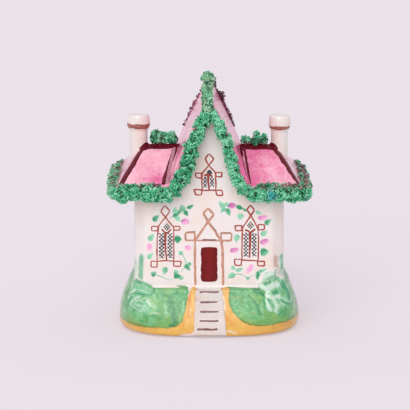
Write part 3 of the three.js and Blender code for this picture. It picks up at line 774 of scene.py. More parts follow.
# Outlines of the painted washes, as arc length round the bank and height.
GREEN_LEFT = [
    (-14, 22.8), (-11.1, 21.2), (-11.3, 17.6), (-11.8, 12), (-12.5, 7.6), (-15, 5.0), (-19.4, 4.2),
    (-28, 3.9), (-36.4, 3.8), (-46.4, 4.3), (-61, 4.2), (-80, 4.6), (-96, 5.2), (-103, 12), (-100, 27),
    (-31, 27), (-20, 23.4)]
GREEN_RIGHT = [
    (12, 22.8), (10.2, 16), (11.5, 12), (14.4, 8.4), (18.8, 5.9), (23.9, 4.9), (32.1, 5), (40.5, 5.4),
    (49, 5.4), (62, 5), (80, 5.2), (96, 5.6), (103, 12), (100, 27), (31, 27), (20, 23.6)]
OCHRE_LEFT = [
    (-10.5, 22.6), (-7.3, 22.2), (-6.7, 12), (-6.7, 4), (-8.3, 1.9), (-13, 1), (-20, -2), (-97, -2),
    (-101, 3), (-97, 7), (-60, 6.4), (-20, 6.4), (-13.4, 9), (-12.6, 16)]
OCHRE_RIGHT = [
    (12.6, 22.9), (7.1, 22.6), (6.9, 12), (7.1, -2), (97, -2), (101, 3.4), (97, 8), (60, 7.6), (36, 7.6),
    (24, 7.6), (17, 11), (13, 16)]
# Brush strokes on the bank as seen from the front: width, strength, and places across and up.
# Deep green brushwork; the short stroke at (-26.3, 22.3), beside the left leaf's tip, and the thin lines
# under that leaf's lower edge, near heights 16 to 19 on the left, are painted shade.
DEEP_STROKES_AND_SHADE = [
    (2.6, 0.7, [(-39.1, 17.1), (-38.4, 14.6)]), (2.6, 0.6, [(-21.3, 19.3), (-17.6, 17.5)]),
    (4.6, 0.75, [(-18.2, 16.0), (-16.6, 10.0), (-15.6, 5.6)]), (1.8, 1.0, [(-18.6, 5.5), (-14.4, 4.8)]),
    (1.1, 1.0, [(-26.3, 22.3), (-26.1, 20.5)]), (0.9, 0.8, [(-35.8, 18.8), (-32.5, 19.0), (-27.9, 19.2)]),
    (0.9, 0.7, [(-38.5, 16.1), (-35.8, 18.5)]), (1.6, 0.5, [(-24.5, 16.3), (-23.4, 13.5)]),
    (0.7, 0.6, [(-34.2, 13.8), (-33.5, 14.8), (-32.4, 15.1), (-31.5, 14.1), (-32.0, 12.8), (-33.4, 12.4)]),
    (2.1, 0.5, [(-38.3, 11.6), (-37.6, 9.8)]), (1.6, 0.4, [(-33.0, 9.7), (-28.7, 9.2)]),
    (1.8, 0.4, [(-26.0, 9.4), (-22.3, 8.0)]), (1.6, 0.45, [(-16.5, 20.8), (-12.3, 20.1)]),
    (1.3, 0.6, [(-14.4, 15.6), (-13.7, 11.7)]), (2.6, 0.8, [(21.5, 21.6), (25.7, 19.5)]),
    (1.0, 0.8, [(18.8, 19.3), (20.9, 17.4), (23.0, 14.9)]), (1.5, 0.8, [(23.0, 14.9), (24.6, 10.5)]),
    (1.4, 0.5, [(10.9, 21.8), (15.6, 22.1)]), (1.6, 0.5, [(10.0, 18.5), (10.6, 14.2)]),
    (2.6, 0.8, [(36.0, 16.2), (35.3, 13.4)]), (2.0, 0.7, [(36.9, 12.0), (36.4, 9.1)]),
    (1.6, 0.5, [(27.8, 8.2), (29.9, 6.9)]), (0.9, 0.7, [(27.8, 16.6), (29.0, 17.1)]),
    (1.6, 0.3, [(15.7, 17.5), (16.6, 13.7)])]
# Pale streaks where the green lies thin; some are painted highlights, such as the upright stroke at -12 along
# the bank's rounded edge beside the steps.
PALE_STROKES_AND_HIGHLIGHTS = [
    (1.0, 0.85, [(-33.7, 16.5), (-30.3, 17.6), (-27.1, 16.6), (-25.5, 13.9)]),
    (0.8, 0.6, [(-30.3, 16.0), (-27.9, 15.2), (-26.3, 13.3)]),
    (1.3, 0.8, [(-28.1, 10.8), (-25.0, 11.4), (-23.4, 10.8)]), (1.8, 0.5, [(-21.0, 14.8), (-20.2, 11.6)]),
    (1.3, 0.7, [(-12.0, 16.1), (-11.6, 9.7)]), (1.0, 0.6, [(-36.0, 16.4), (-33.8, 17.5)]),
    (1.8, 0.5, [(-41.4, 10.5), (-40.7, 6.1)]), (0.9, 0.4, [(-34.1, 6.3), (-30.3, 5.5)]),
    (2.1, 0.7, [(-41.7, 14.5), (-42.3, 12.2)]), (2.3, 0.5, [(32.3, 15.8), (32.6, 12.3)]),
    (1.6, 0.6, [(29.9, 15.8), (28.2, 13.5)]), (1.8, 0.6, [(41.0, 12.8), (41.1, 6.9)]),
    (1.3, 0.55, [(25.1, 15.3), (25.7, 11.4)]), (1.3, 0.5, [(14.0, 12.7), (15.7, 12.1)]),
    (1.0, 0.3, [(11.4, 19.9), (12.0, 16.6)]), (1.2, 0.4, [(20.9, 8.6), (22.0, 7.5)]),
    (0.9, 0.3, [(18.2, 15.6), (19.3, 12.6)])]
OLIVE_STROKES = [
    (1.3, 0.8, [(-38.5, 5.5), (-32.5, 4.7), (-26.0, 3.8)]), (0.9, 0.6, [(-26.0, 3.8), (-18.6, 3.9)]),
    (1.2, 0.7, [(-12.0, 9.7), (-13.7, 5.3)]), (0.9, 0.7, [(-41.4, 6.4), (-38.5, 5.5)]),
    (0.8, 0.6, [(-26.1, 22.9), (-18.7, 23.3), (-11.8, 22.2)]), (0.8, 0.4, [(-9.6, 20.8), (-10.2, 17.6)]),
    (1.9, 0.6, [(10.8, 18.0), (15.1, 18.5), (15.7, 15.6)]), (1.9, 0.5, [(19.3, 11.6), (23.0, 10.4)]),
    (1.2, 0.8, [(16.1, 7.6), (23.0, 5.2), (31.0, 5.3), (38.7, 5.9)]),
    (0.9, 0.6, [(10.3, 11.8), (14.0, 8.7)]), (1.6, 0.4, [(23.0, 9.5), (25.7, 9.3)])]


def brushwork(spots, strokes, core=0.45):
    """How strongly a set of strokes colours each spot, fading out from a full core."""
    shown = np.zeros(spots.shape[:-1])
    for width, strength, path in strokes:
        path = evenly(soften(path, 1.5), 0.3)
        far = np.linalg.norm(spots[..., None, :] - path, axis=-1).min(axis=-1) / (0.5 * width)
        shown = np.maximum(shown, strength * (1 - smooth_step(far, core, 1.45)))
    return shown


# The ochre path laid on thick, and where it runs out.
RICH_STROKES = [
    (2.6, 0.9, [(-9.6, 20.9), (-9.3, 16.6)]), (2.2, 0.65, [(-9.3, 15.6), (-9.6, 9.6)]),
    (2.0, 0.5, [(-11.4, 8.8), (-12.3, 6.0)]), (2.6, 0.8, [(8.3, 9.8), (8.8, 8.0)]),
    (2.0, 0.6, [(10.4, 7.9), (11.1, 5.6)]), (1.2, 0.5, [(-42.0, 4.2), (-38.0, 3.0)]),
    (1.2, 0.5, [(34.0, 4.0), (41.0, 4.4)])]
BARE_STROKES = [
    (1.8, 0.4, [(-8.9, 14.0), (-8.9, 10.4)]), (1.1, 0.8, [(6.9, 18.5), (7.3, 13.0)]),
    (1.2, 0.7, [(8.6, 3.4), (13.0, 1.8)]), (1.3, 0.4, [(-8.4, 2.6), (-13.0, 1.6)]),
    (1.0, 0.5, [(-28.0, 1.4), (-38.0, 2.0)])]


def step_half(z):
    """Half the width of the flight, which flares more on its right."""
    return STEP_TOP_HALF + 0.5 * (STEP_FLARE_LEFT + STEP_FLARE_RIGHT) * (1 - z / MOUND_TOP)


def step_middle(z):
    return 0.5 * (STEP_FLARE_RIGHT - STEP_FLARE_LEFT) * (1 - z / MOUND_TOP)


MOUND_STROKES = dict(
    deep=DEEP_STROKES_AND_SHADE, pale=PALE_STROKES_AND_HIGHLIGHTS, olive=OLIVE_STROKES, rich=RICH_STROKES, bare=BARE_STROKES)
# The hollow under the foot, from its middle out: how far in from the foot's edge, and height.
HOLLOW_PROFILE = [
    (34.0, HOLLOW_HEIGHT), (HOLLOW_WALL + 4.5, HOLLOW_HEIGHT), (HOLLOW_WALL + 3.2, HOLLOW_HEIGHT - 0.6),
    (HOLLOW_WALL + 2.5, HOLLOW_HEIGHT - 2), (HOLLOW_WALL + 0.3, 0.4), (HOLLOW_WALL - 0.3, 0.0)]
HOLLOW_RINGS = len(HOLLOW_PROFILE)
# The mound's top: how far in from the shoulder, and how high clay was pushed up against the house.
LEDGE_PROFILE = [(2.6, 0), (2.95, 0.35), (3.25, 1.0), (3.9, 0.1), (6, 0), (12, 0), (20, 0), (27, 0)]
NOTCH_BACK = -27.8
NOTCH_DEPTH = 4.2


def make_mound():
    turns = np.linspace(0, TAU, 440, endpoint=False)
    arc = bank_arc(turns)
    shoulder = MOUND_TOP - MOUND_EDGE

    def ring(z, inset, level):
        """The bank's outline at height z, moved in and laid at a level."""
        laid = bank_point(turns, np.full_like(turns, z), -inset)
        laid[:, 2] = level
        return laid

    rings = [ring(0.0, inset, level) for inset, level in HOLLOW_PROFILE]
    foot, side = np.linspace(0, MOUND_WIDEST, 8)[:-1], np.linspace(MOUND_WIDEST, shoulder, 46)
    rings += [ring(z, 0.0, z) for z in np.concatenate([foot, side])]
    for roll in np.linspace(0, math.pi / 2, 7)[1:]:
        inset, climb = MOUND_EDGE * (1 - math.cos(roll)), MOUND_EDGE * math.sin(roll)
        rings.append(ring(shoulder, inset, shoulder + climb))
    pushed_up = between(arc, -35, -30, -10, -8) + 0.4 * between(arc, 9, 11, 27, 30)
    rings += [ring(shoulder, inset, MOUND_TOP + climb * pushed_up) for inset, climb in LEDGE_PROFILE]
    points = np.stack(rings)

    z = points[..., 2]
    on_side = between(z, 1.0, 4.0, shoulder, MOUND_TOP) * (np.abs(arc) > 8.6)
    on_side[:HOLLOW_RINGS] = 0
    uneven = 0.16 * ripples(points, 8, 31) + 0.07 * ripples(points, 3, 32)
    in_front = 1 - smooth_step(points[..., 1], -25, -12)
    seen = points[..., [0, 2]]
    painted = {name: brushwork(seen, strokes, 0.2) * in_front for name, strokes in MOUND_STROKES.items()}
    worked = (0.2 * painted["pale"] - 0.22 * painted["deep"] + uneven) * on_side
    points = points + unit(points * [1, 1, 0]) * worked[..., None]
    y = points[..., 1]
    behind_steps = np.abs(points[..., 0] - step_middle(z)) < step_half(z) - 0.5
    notch = behind_steps & (y < NOTCH_BACK) & (z > 0.3)
    notch[:HOLLOW_RINGS] = False
    points[..., 1] = np.where(notch, np.minimum(y + NOTCH_DEPTH, NOTCH_BACK), y)

    spots = np.stack([np.broadcast_to(arc, z.shape), z], -1).reshape(-1, 2)
    green = np.maximum(inside_by(spots, GREEN_LEFT), inside_by(spots, GREEN_RIGHT)).reshape(z.shape)
    ochre = np.maximum(inside_by(spots, OCHRE_LEFT), inside_by(spots, OCHRE_RIGHT)).reshape(z.shape)
    glazed = np.arange(len(points))[:, None] >= HOLLOW_RINGS
    clay = Clay()
    add_tubes(
        clay, points[None], green=green, ochre=ochre, **painted,
        green_body=glazed * (1 - smooth_step(np.abs(arc), 92, 106)),
        ochre_body=glazed * (1 - smooth_step(np.abs(arc), 94, 104)))
    clay.piece("grass_mound", glazes["mound"], ["ground_mound"], "grass_enamel", crease=50)


def riser_front(step):
    """Where a step's riser stands: proud of the bank at half its height."""
    bank = bank_point(np.array(-math.pi / 2), np.array((step - 0.5) * STEP_RISE))
    return -min(-bank[1] + STEP_PROUD, MOUND_HALF_DEPTH)


STEP_BACK = -28.6


def step_profile():
    """The flight seen from its side, from its foot up, with worn nosings."""
    profile = [(1.1 - MOUND_HALF_DEPTH, 0.0), (riser_front(1), MOUND_WIDEST / 2)]
    for step in range(1, STEP_COUNT + 1):
        z = step * STEP_RISE
        next_front = riser_front(step + 1) if step < STEP_COUNT else STEP_BACK
        profile += [(riser_front(step), z), (next_front, z)]
    return evenly(soften(profile, 0.45), 0.22)


STEP_PROFILE = step_profile()
STEP_ALONG = lengths_along(STEP_PROFILE)


def on_steps(spots):
    """A place on the steps: distance from the middle, and length up the stair's profile."""
    x, along = spots[..., 0], spots[..., 1]
    place = np.concatenate([x[..., None], place_at(along, STEP_ALONG, STEP_PROFILE)], -1)
    return place + np.stack([0 * x, 0.08 * ripples(place, 4, 41), 0.05 * ripples(place, 5, 42)], -1)


# The left and right ends of the line painted along each step's nosing, from the lowest up.
NOSING_LINES = [(-5.7, 4.2), (-4.7, 4.6), (-4.3, 4.7), (-4.3, 4.2), (-4.6, 4.8)]


def make_steps():
    across = np.concatenate([[-1, -0.995, -0.98, -0.95], np.linspace(-0.9, 0.9, 38), [0.95, 0.98, 0.995, 1]])
    along, share = np.meshgrid(STEP_ALONG, across, indexing="ij")
    z = place_at(along, STEP_ALONG, STEP_PROFILE)[..., 1]
    outer = on_steps(np.stack([step_middle(z) + share * step_half(z), along], -1))
    outer[..., 1] += 0.55 * np.clip((np.abs(share) - 0.9) / 0.1, 0, 1) ** 2.2
    inner = outer + [0, 3.6, 0]
    inner[..., 2] = np.maximum(inner[..., 2] - 0.8, 0)
    clay = Clay()
    add_sheet(clay, outer, inner)
    clay.piece("stair_flight", glazes["stair_white"], ["front_steps"], "white_glaze", crease=60)
    lines = Clay()
    for step, (left, right) in enumerate(NOSING_LINES, 1):
        off = STEP_PROFILE - [riser_front(step), step * STEP_RISE - 0.25]
        nosing = STEP_ALONG[np.argmin(np.linalg.norm(off, axis=1))]
        path = [(left, nosing - 0.05), (-1.6, nosing + 0.1), (1.6, nosing - 0.05), (right, nosing + 0.12)]
        add_stroke(lines, on_steps, path, 1.05, rise=0.08, bend=2, seed=60 + step, shake=0.1, tint=0.66)
    foot = STEP_ALONG[np.argmin(np.abs(STEP_PROFILE[:, 1] - 0.75))]
    path = [(-7.2, foot - 0.1), (-2, foot + 0.1), (3, foot), (8.2, foot - 0.1)]
    add_stroke(lines, on_steps, path, 0.42, rise=0.05, bend=2, seed=66, shake=0.06, tint=0.1)
    lines.piece("stair_lines", glazes["umber"])


make_mound()
make_steps()


# The walls.
WALL_SEAM = 39.7
WALL_FOOT = MOUND_TOP - 0.4
# Washes up the corners: width, strength, and a path in length round the wall and height.
CORNER_GREENS = [
    (4.4, 1.0, [(-33.0, 36.2), (-33.5, 31.0), (-34.2, 22.0)]),
    (5.6, 0.5, [(-37.4, 33.4), (-38.4, 28.0), (-39.6, 22.0)]), (4.8, 1.0, [(36.9, 36.0), (37.3, 31.0)]),
    (6.0, 0.6, [(36.8, 31.0), (37.2, 22.0)])]
# The brown up the right corner: a stain low down, and a fainter streak above it that is painted shade where
# the wall turns onto the canted corner.
CORNER_STAIN_AND_SHADE = [
    (4.6, 0.9, [(32.6, 36.0), (33.3, 31.0), (33.6, 27.0)]), (4.0, 0.35, [(31.8, 43.0), (32.3, 37.0)])]


def make_wall(name, node, first, last):
    """One side of the house, from arc length first to last, up to the roof's underside."""
    u = np.linspace(first, last, int((last - first) / 0.42))
    foot = [0, 0.25, 0.5, 0.8, 1.2, 1.7]
    share = np.concatenate([foot, np.linspace(2.4, 44, 88), np.linspace(44.6, 51, 30)])[:, None]
    share = share / share[-1]
    faces = []
    for inset in (0.0, WALL_THICK):
        plan, outward = outline_at(u)
        x, y = (plan - outward * inset).T
        top = roof_top(x, y) - roof_drop(x, y) - 0.1
        z = lerp(WALL_FOOT, top, share)
        wide = np.broadcast_to(u, z.shape)
        fillet = 0.75 * np.clip(1 - (z - MOUND_TOP) / 1.3, 0, 1.2) ** 2.2
        faces.append(wall_point(wide, z, -inset if inset else fillet))
    spots = np.stack([wide, z], -1)
    clay = Clay()
    # The brown mask holds a stain and painted shade on the canted corner.
    add_sheet(clay, *faces, green=brushwork(spots, CORNER_GREENS, 0.15),
              brown=brushwork(spots, CORNER_STAIN_AND_SHADE, 0.1))
    clay.piece(name, glazes["wall"], [node], "white_glaze", crease=50)


make_wall("painted_front", "front_wall", -WALL_SEAM, WALL_SEAM)
make_wall("right_end", "right_end_wall", WALL_SEAM, GIRTH / 2 - WALL_SEAM)
make_wall("plain_back", "back_wall", GIRTH / 2 - WALL_SEAM, GIRTH / 2 + WALL_SEAM)
make_wall("left_end", "left_end_wall", WALL_SEAM - GIRTH / 2, -WALL_SEAM)


# The roof.
# How heavily the pink lies on each slope; on the others it is 0.5. The right gable slope, turned from the
# sun, is loaded deepest partly as painted shade.
PINK_LOADS_AND_SHADE = {
    "left_front_slope": 0.26, "right_end_slope": 0.4, "left_gable_slope": 0.48, "right_gable_slope": 0.62}
EAVES_ROLL = 0.9


def make_slope(name, node, plan_x, plan_y):
    """A roof slab over a grid of plan points, its free edges rolled over."""
    free = np.minimum(EAVES_HALF_WIDTH - np.abs(plan_x), EAVES_HALF_DEPTH - np.abs(plan_y))
    near = np.clip(1 - free / EAVES_ROLL, 0, 1)
    sunk = EAVES_ROLL * (1 - np.sqrt(1 - near ** 2))
    top = roof_top(plan_x, plan_y)
    outer = np.stack([plan_x, plan_y, top - sunk], -1)
    inner = np.stack([plan_x, plan_y, top - roof_drop(plan_x, plan_y) + sunk * 0.5], -1)
    load = PINK_LOADS_AND_SHADE.get(name, 0.5) + 0.2 * ripples(outer, 16, 51)
    if name == "left_front_slope":
        load = load + 0.5 * np.exp(-((plan_x + 24.5) ** 2 / 36 + (plan_y + 28) ** 2 / 26))
    if name == "right_front_slope":
        load = load + 0.3 * (1 - smooth_step(plan_x, 20, 31))
    if name == "right_gable_slope":
        load = load + 0.06 * (1 - smooth_step(top, 87, 97))
    clay = Clay()
    add_sheet(clay, outer, inner, load=load, even=float("gable" in name))
    # The underside stays white, apart from its front edge.
    bare = (clay.values["face"][0] < 0.5) & (clay.points[0][:, 1] > 0.4 - EAVES_HALF_DEPTH)
    clay.values["cover"] = [np.where(bare, -2.0, 2.0)]
    clay.piece(name, glazes["pink"], [node], "pink_roof", crease=55)


def graded(count, both=False):
    """Shares from 0 to 1, closer together towards 1, or towards both ends."""
    extra = np.array([0.002, 0.006, 0.012, 0.02])
    return np.unique(np.concatenate([np.linspace(0, 1, count), 1 - extra, extra if both else []]))


def make_roof():
    for side, way in (("right", 1), ("left", -1)):
        y = (graded(112, both=True)[:, None] * 2 - 1) * EAVES_HALF_DEPTH
        share = np.linspace(0, 1, 40)[None]
        grid = (way * share * valley_x(y), y + 0 * share)
        make_slope(f"{side}_gable_slope", f"{side}_gable_roof", *flipped(grid))
        for end, front in (("front", -1), ("back", 1)):
            y = front * graded(64)[:, None] * EAVES_HALF_DEPTH
            share = np.linspace(0, 1, 50)[None]
            grid = (way * lerp(valley_x(y), hip_x(y), share), y + 0 * share)
            make_slope(f"{side}_{end}_slope", f"{side}_wing_{end}_slope", *flipped(grid))
        reach = np.maximum(graded(40), 0.015)[:, None]
        share = np.linspace(-1, 1, 90)[None]
        y = share * reach * EAVES_HALF_DEPTH
        grid = (way * hip_x(reach * EAVES_HALF_DEPTH) + 0 * share, y)
        make_slope(f"{side}_end_slope", f"{side}_wing_end_slope", *flipped(grid))


def flipped(grid):
    """The plan grid, turned over so that its faces look up."""
    x, y = np.broadcast_arrays(*grid)
    spin = (x[1, 1] - x[0, 0]) * (y[1, 0] - y[0, 0]) - (x[1, 0] - x[0, 0]) * (y[1, 1] - y[0, 0])
    return (x, y) if spin > 0 else (x[:, ::-1], y[:, ::-1])


make_roof()


# Chimneys.
def chimney_profile(height, swell):
    """Radius and height up a stack and over its flared, dished cap."""
    top = WING_RIDGE + height
    neck = top - CAP_HEIGHT
    radius = CAP_RADIUS * swell
    corners = [
        (STACK_RADIUS * 1.02, 75), (STACK_RADIUS * 0.97, 88), (STACK_RADIUS, neck - 0.5),
        (radius * 0.93, neck + 0.6), (radius * 0.99, neck + 1.9), (radius, neck + 3.6),
        (radius * 0.97, neck + 5.4), (radius * 0.9, top - 0.45), (radius * 0.74, top),
        (radius * 0.45, top - 0.35), (0.3, top - 0.5)]
    return evenly(soften(corners, 1.0), 0.3)


def make_chimney(side, way, lean, height, swell, band, seed):
    profile = chimney_profile(height, swell)
    along = lengths_along(profile)
    top = WING_RIDGE + height

    def on_chimney(spots):
        turn, reach = spots[..., 0] / STACK_RADIUS, spots[..., 1]
        radius, z = np.moveaxis(place_at(reach, along, profile), -1, 0)
        around = np.stack([np.cos(turn) * 3, np.sin(turn) * 3, z * 0.6], -1)
        radius = radius * (1 + 0.022 * ripples(around, 5, seed)) * (1 + 0.03 * np.cos(2 * turn + seed))
        x = way * CHIMNEY_X + radius * np.cos(turn) + lean * (z - WING_RIDGE + 5)
        y = radius * np.sin(turn)
        flare = 0.8 * np.exp(-np.clip(z - roof_top(x, y), 0, 9) / 0.7)
        tilt = 0.06 * radius * np.cos(turn + seed) * smooth_step(z, top - 3, top)
        return np.stack([x + flare * np.cos(turn), y + flare * np.sin(turn), z + tilt], -1)

    turns = np.linspace(0, TAU, 84, endpoint=False) * STACK_RADIUS
    grid = np.stack(np.meshgrid(along, turns, indexing="ij")[::-1], -1)
    skin = on_chimney(grid)[:, ::-1]
    rosy = 1 - smooth_step(skin[..., 2] - roof_top(skin[..., 0], skin[..., 1]), 0.0, 2.6)
    clay = Clay()
    add_tubes(clay, skin[None], rosy=rosy[None])
    clay.piece(f"{side}_stack", glazes["chimney"], [f"{side}_chimney"], "white_glaze", crease=60)
    ring = Clay()
    level, width = band
    reach = np.interp(top - level, profile[:, 1], along)
    loop = [(t, reach + 0.12 * math.sin(3 * t / STACK_RADIUS + seed)) for t in turns[::4]]
    loop = evenly(np.array(loop + [(TAU * STACK_RADIUS, loop[0][1])]), 0.35)
    add_stroke(ring, on_chimney, loop, width, rise=0.06, bend=0.3, seed=seed, shake=0.1, tint=0.6, strips=7)
    ring.piece(f"{side}_stack_band", glazes["band"])
    foot_line = Clay()
    degrees, heights = np.transpose(FOOT_LINES[side])
    path = np.stack([np.radians(degrees) * STACK_RADIUS, np.interp(heights, profile[:, 1], along)], -1)
    add_stroke(
        foot_line, on_chimney, path, 3.0, bend=1.5, seed=seed + 7, shake=0.1, tint=0.68, strips=9, rise=0.09)
    foot_line.piece(f"{side}_stack_foot_line", glazes["maroon"])


# Where the roof's maroon line runs over the foot of each stack: degrees round it, and height.
FOOT_LINES = {
    "left": [(-2, 86.6), (-18, 86.5), (-36, 86.4), (-56, 86.1), (-72, 85.5), (-85, 84.6)],
    "right": [(-178, 86.6), (-159, 86.6), (-140, 86.4), (-124, 85.9), (-110, 85.2), (-101, 84.5)],
}
make_chimney("left", -1, 0.0, CHIMNEY_RISE, 1.03, (5.5, 2.5), 71)
make_chimney("right", 1, 0.012, CHIMNEY_RISE - 0.4, 1.0, (5.9, 1.7), 72)


# Trims of shredded clay: a lumpy core with thousands of short curled strands pressed onto it.
def lump(along, turn, seed):
    """The same slow lumps as in the part's ropes."""
    return (0.5 * np.sin(1.15 * along + 2 * turn + seed) + 0.3 * np.sin(2.05 * along - 3 * turn + 2.3 * seed)
            + 0.3 * np.sin(0.62 * along + turn + 4.1 * seed))


ROPE_LUMPS = 0.15


class Rope:
    """A route with an elliptical section, lumpy and gathered in clumps."""

    def __init__(self, route, deep, half_width, half_depth, seed, taper=None, clump=0.12):
        self.route = evenly(np.asarray(route, float), 0.4)
        self.along = lengths_along(self.route)
        self.length = self.along[-1]
        self.ahead = unit(np.gradient(self.route, axis=0))
        self.deep, self.seed, self.taper, self.clump = np.asarray(deep, float), seed, taper, clump
        self.half_width, self.half_depth = half_width, half_depth

    def point(self, along, turn, grow=0.0):
        """Points on the skin, moved out by grow."""
        centre = place_at(along, self.along, self.route)
        across = unit(np.cross(self.deep, unit(place_at(along, self.along, self.ahead))))
        reach = min(self.half_width, self.half_depth)
        share = np.clip(np.minimum(along, self.length - along) / reach, 0, 1)
        girth = np.sqrt(np.maximum(1 - (1 - share) ** 2, 0.0))
        if self.taper:
            girth = girth * self.taper(along / self.length)
        round_spot = np.stack([along, 2.2 * np.cos(turn), 2.2 * np.sin(turn)], -1)
        clumps = self.clump * ripples(round_spot, 3.6, int(self.seed * 10))
        size = girth * (1 + ROPE_LUMPS * lump(along, turn, self.seed) + clumps)
        c = (self.half_width * size + grow * girth) * np.cos(turn)
        s = (self.half_depth * size + grow * girth) * np.sin(turn)
        return centre + across * c[..., None] + self.deep * s[..., None]

    def outward(self, along, turn):
        """Points on the skin, and the directions out of it."""
        spot = self.point(along, turn)
        ahead = self.point(along + 0.25, turn) - self.point(along - 0.25, turn)
        around = self.point(along, turn + 0.05) - self.point(along, turn - 0.05)
        return spot, unit(np.cross(around, ahead))


def buried(points):
    """Whether points lie inside the roof's slabs or the walls."""
    x, y, z = points[:, 0], points[:, 1], points[:, 2]
    top = roof_top(x, y)
    within = (np.abs(x) < EAVES_HALF_WIDTH - 0.2) & (np.abs(y) < EAVES_HALF_DEPTH - 0.2) & (z < top - 0.35)
    in_slab = within & (z > top - roof_drop(x, y))
    in_house = (np.abs(x) < HOUSE_HALF_WIDTH) & (np.abs(y) < HOUSE_HALF_DEPTH) & (z < top)
    return in_slab | in_house


STRAND_LEAN = (0.22, 0.42)


def add_strands(clay, base, outward, draw, lit_and_thin, colours, thick=(0.24, 0.4), long=(1.0, 2.3)):
    """Short curled strands on a surface, some lying and some standing on end."""
    number, count, sides = len(base), 5, 5
    guide = np.where(np.abs(outward[:, 2:3]) < 0.8, [[0.0, 0, 1]], [[1.0, 0, 0]])
    first = unit(np.cross(outward, guide))
    second = np.cross(outward, first)
    spin = draw.uniform(0, TAU, number)[:, None]
    tilt = draw.normal(*STRAND_LEAN, number)[:, None]
    flat = np.cos(spin) * first + np.sin(spin) * second
    lead = np.cos(tilt) * flat + np.sin(tilt) * outward
    side = np.cross(outward, flat)
    up = np.cross(lead, side)
    roll = draw.uniform(0, TAU, number)[:, None]
    inward = np.cos(roll) * side + np.sin(roll) * up
    third = np.cross(lead, inward)
    radius = draw.uniform(0.5, 1.5, number)[:, None, None]
    length = draw.uniform(*long, number)[:, None, None]
    share = np.linspace(-0.5, 0.5, count)[None, :, None]
    bend = share * np.minimum(length / radius, 3.6)
    path = base[:, None] + lead[:, None] * radius * np.sin(bend)
    path = path + inward[:, None] * radius * (1 - np.cos(bend))
    path = path + third[:, None] * share * draw.normal(0, 0.3, (number, 1, 1))
    inner = inward[:, None] * np.cos(bend) - lead[:, None] * np.sin(bend)
    girth = np.ones(count)
    girth[[0, -1]] = 0.7
    half = draw.uniform(*thick, number)[:, None, None, None] * girth[None, :, None, None]
    angle = np.linspace(0, TAU, sides, endpoint=False)[None, None, :, None]
    section = np.cos(angle) * inner[:, :, None] + np.sin(angle) * third[:, None, None]
    rings = path[:, :, None] + half * section
    # Paler for strands set out on a clump and for their outer ends, darker deep in it: painted light and
    # shade, with the glaze's thinning and pooling.
    rise = lit_and_thin[:, None, None] + 0.3 * ((rings - base[:, None, None]) * outward[:, None, None]).sum(-1)
    add_tubes(clay, rings, rise=np.clip(rise, 0, 1.3), tint=draw.uniform(0, 1, (number, 1, 1)),
              **{name: value[:, None, None] for name, value in colours.items()})


CORE_DEPTH = 0.75  # how far a rope's plain core lies under its strands


def add_crumbs(clay, rope, draw, worn, stain_at=None, blue_at=None, clump=(1.2, 2.3), spread=2.6, crowd=5.6,
               settle=1.0, light=0.0, **strand):
    """A rope's core, and the clumps of strands that cover it."""
    along = np.linspace(0.02, rope.length - 0.02, max(8, int(rope.length / 0.7)))
    turn = np.linspace(0, TAU, 26, endpoint=False)
    inside = rope.point(*np.meshgrid(along, turn, indexing="ij"), grow=-settle - CORE_DEPTH)
    add_tubes(clay, inside[None, :, ::-1], rise=0.0, tint=0.2, stain=0.0, worn=0.0, blue=0.0)
    rows = max(2, round(rope.length / spread))
    columns = max(4, round(math.pi * (rope.half_width + rope.half_depth) / spread))
    row, column = np.meshgrid(np.arange(rows), np.arange(columns), indexing="ij")
    along = (row + draw.uniform(0.05, 0.95, row.shape)) / rows * rope.length
    turn = (column + draw.uniform(0.05, 0.95, row.shape)) / columns * TAU
    spot, outward = (part.reshape(-1, 3) for part in rope.outward(along, turn))
    size = draw.uniform(*clump, len(spot))
    centre = spot + outward * (draw.normal(0.1, 0.28, len(spot)) - settle - 0.72 * size)[:, None]
    owner = np.repeat(np.arange(len(spot)), np.maximum(4, crowd * size ** 2).astype(int))
    way = unit(draw.normal(size=(len(owner), 3)))
    facing = (way * outward[owner]).sum(-1, keepdims=True)
    way = unit(way + outward[owner] * (np.where(facing < 0, -1.6 * facing, 0) + 0.25))
    facing = (way * outward[owner]).sum(-1)
    depth = draw.uniform(0.7, 1.0, len(owner))
    base = centre[owner] + way * (size[owner] * depth)[:, None]
    kept = ~buried(base) & np.isfinite(base).all(axis=1)
    base, way, facing, depth = base[kept], way[kept], facing[kept], depth[kept]
    stain = stain_at(base, outward[owner][kept]) if stain_at else 0
    stain = np.clip(stain + draw.normal(0, 0.12, len(base)), 0, 1)
    blue = blue_at(base) if blue_at else np.zeros(len(base))
    # Strands near a clump's surface that face outward are set paler, buried ones darker: painted light and
    # shade; light moves a whole trim paler or darker on that scale.
    lit_and_thin = light + 0.7 * facing * smooth_step(depth, 0.6, 0.95) + draw.uniform(-0.08, 0.16, len(base))
    colours = dict(stain=stain, blue=blue, worn=np.full(len(base), worn))
    add_strands(clay, base, way, draw, lit_and_thin, colours, **strand)


def make_trim(name, node, glaze, slot, seed, ropes):
    """A trim of one or more ropes, each given with its way of crumbling."""
    clay = Clay()
    draw = np.random.default_rng(seed)
    for rope, manner in ropes:
        add_crumbs(clay, rope, draw, **manner)
    clay.piece(name, glazes[glaze], [node], slot, crease=60)


TRIM_FACE = EAVES_HALF_DEPTH + 0.65
TRIM_X = EAVES_HALF_WIDTH + 1.3
TRIM_Y = EAVES_HALF_DEPTH + 1.3
TRIM_LEVEL = EAVES - 3.8
TRIM_HALF = 3.7
CORNER = 5.0
GABLE_FOOT = EAVES - 4.5
FINIAL_FOOT = GABLE_RIDGE - 8.6
FINIAL_HEAD = GABLE_RIDGE + 11.4
GABLE_HEAD = FINIAL_FOOT + 1.7
GABLE_INSET = 2.6
GABLE_SAG = 3.7
REAR_DROP = 25.5
FRONTWARD = (0, 1, 0)
UPWARD = (0, 0, 1)
GREEN_CLAY = ("green", "green_clay")
DARK_CLAY = ("dark", "dark_clay")


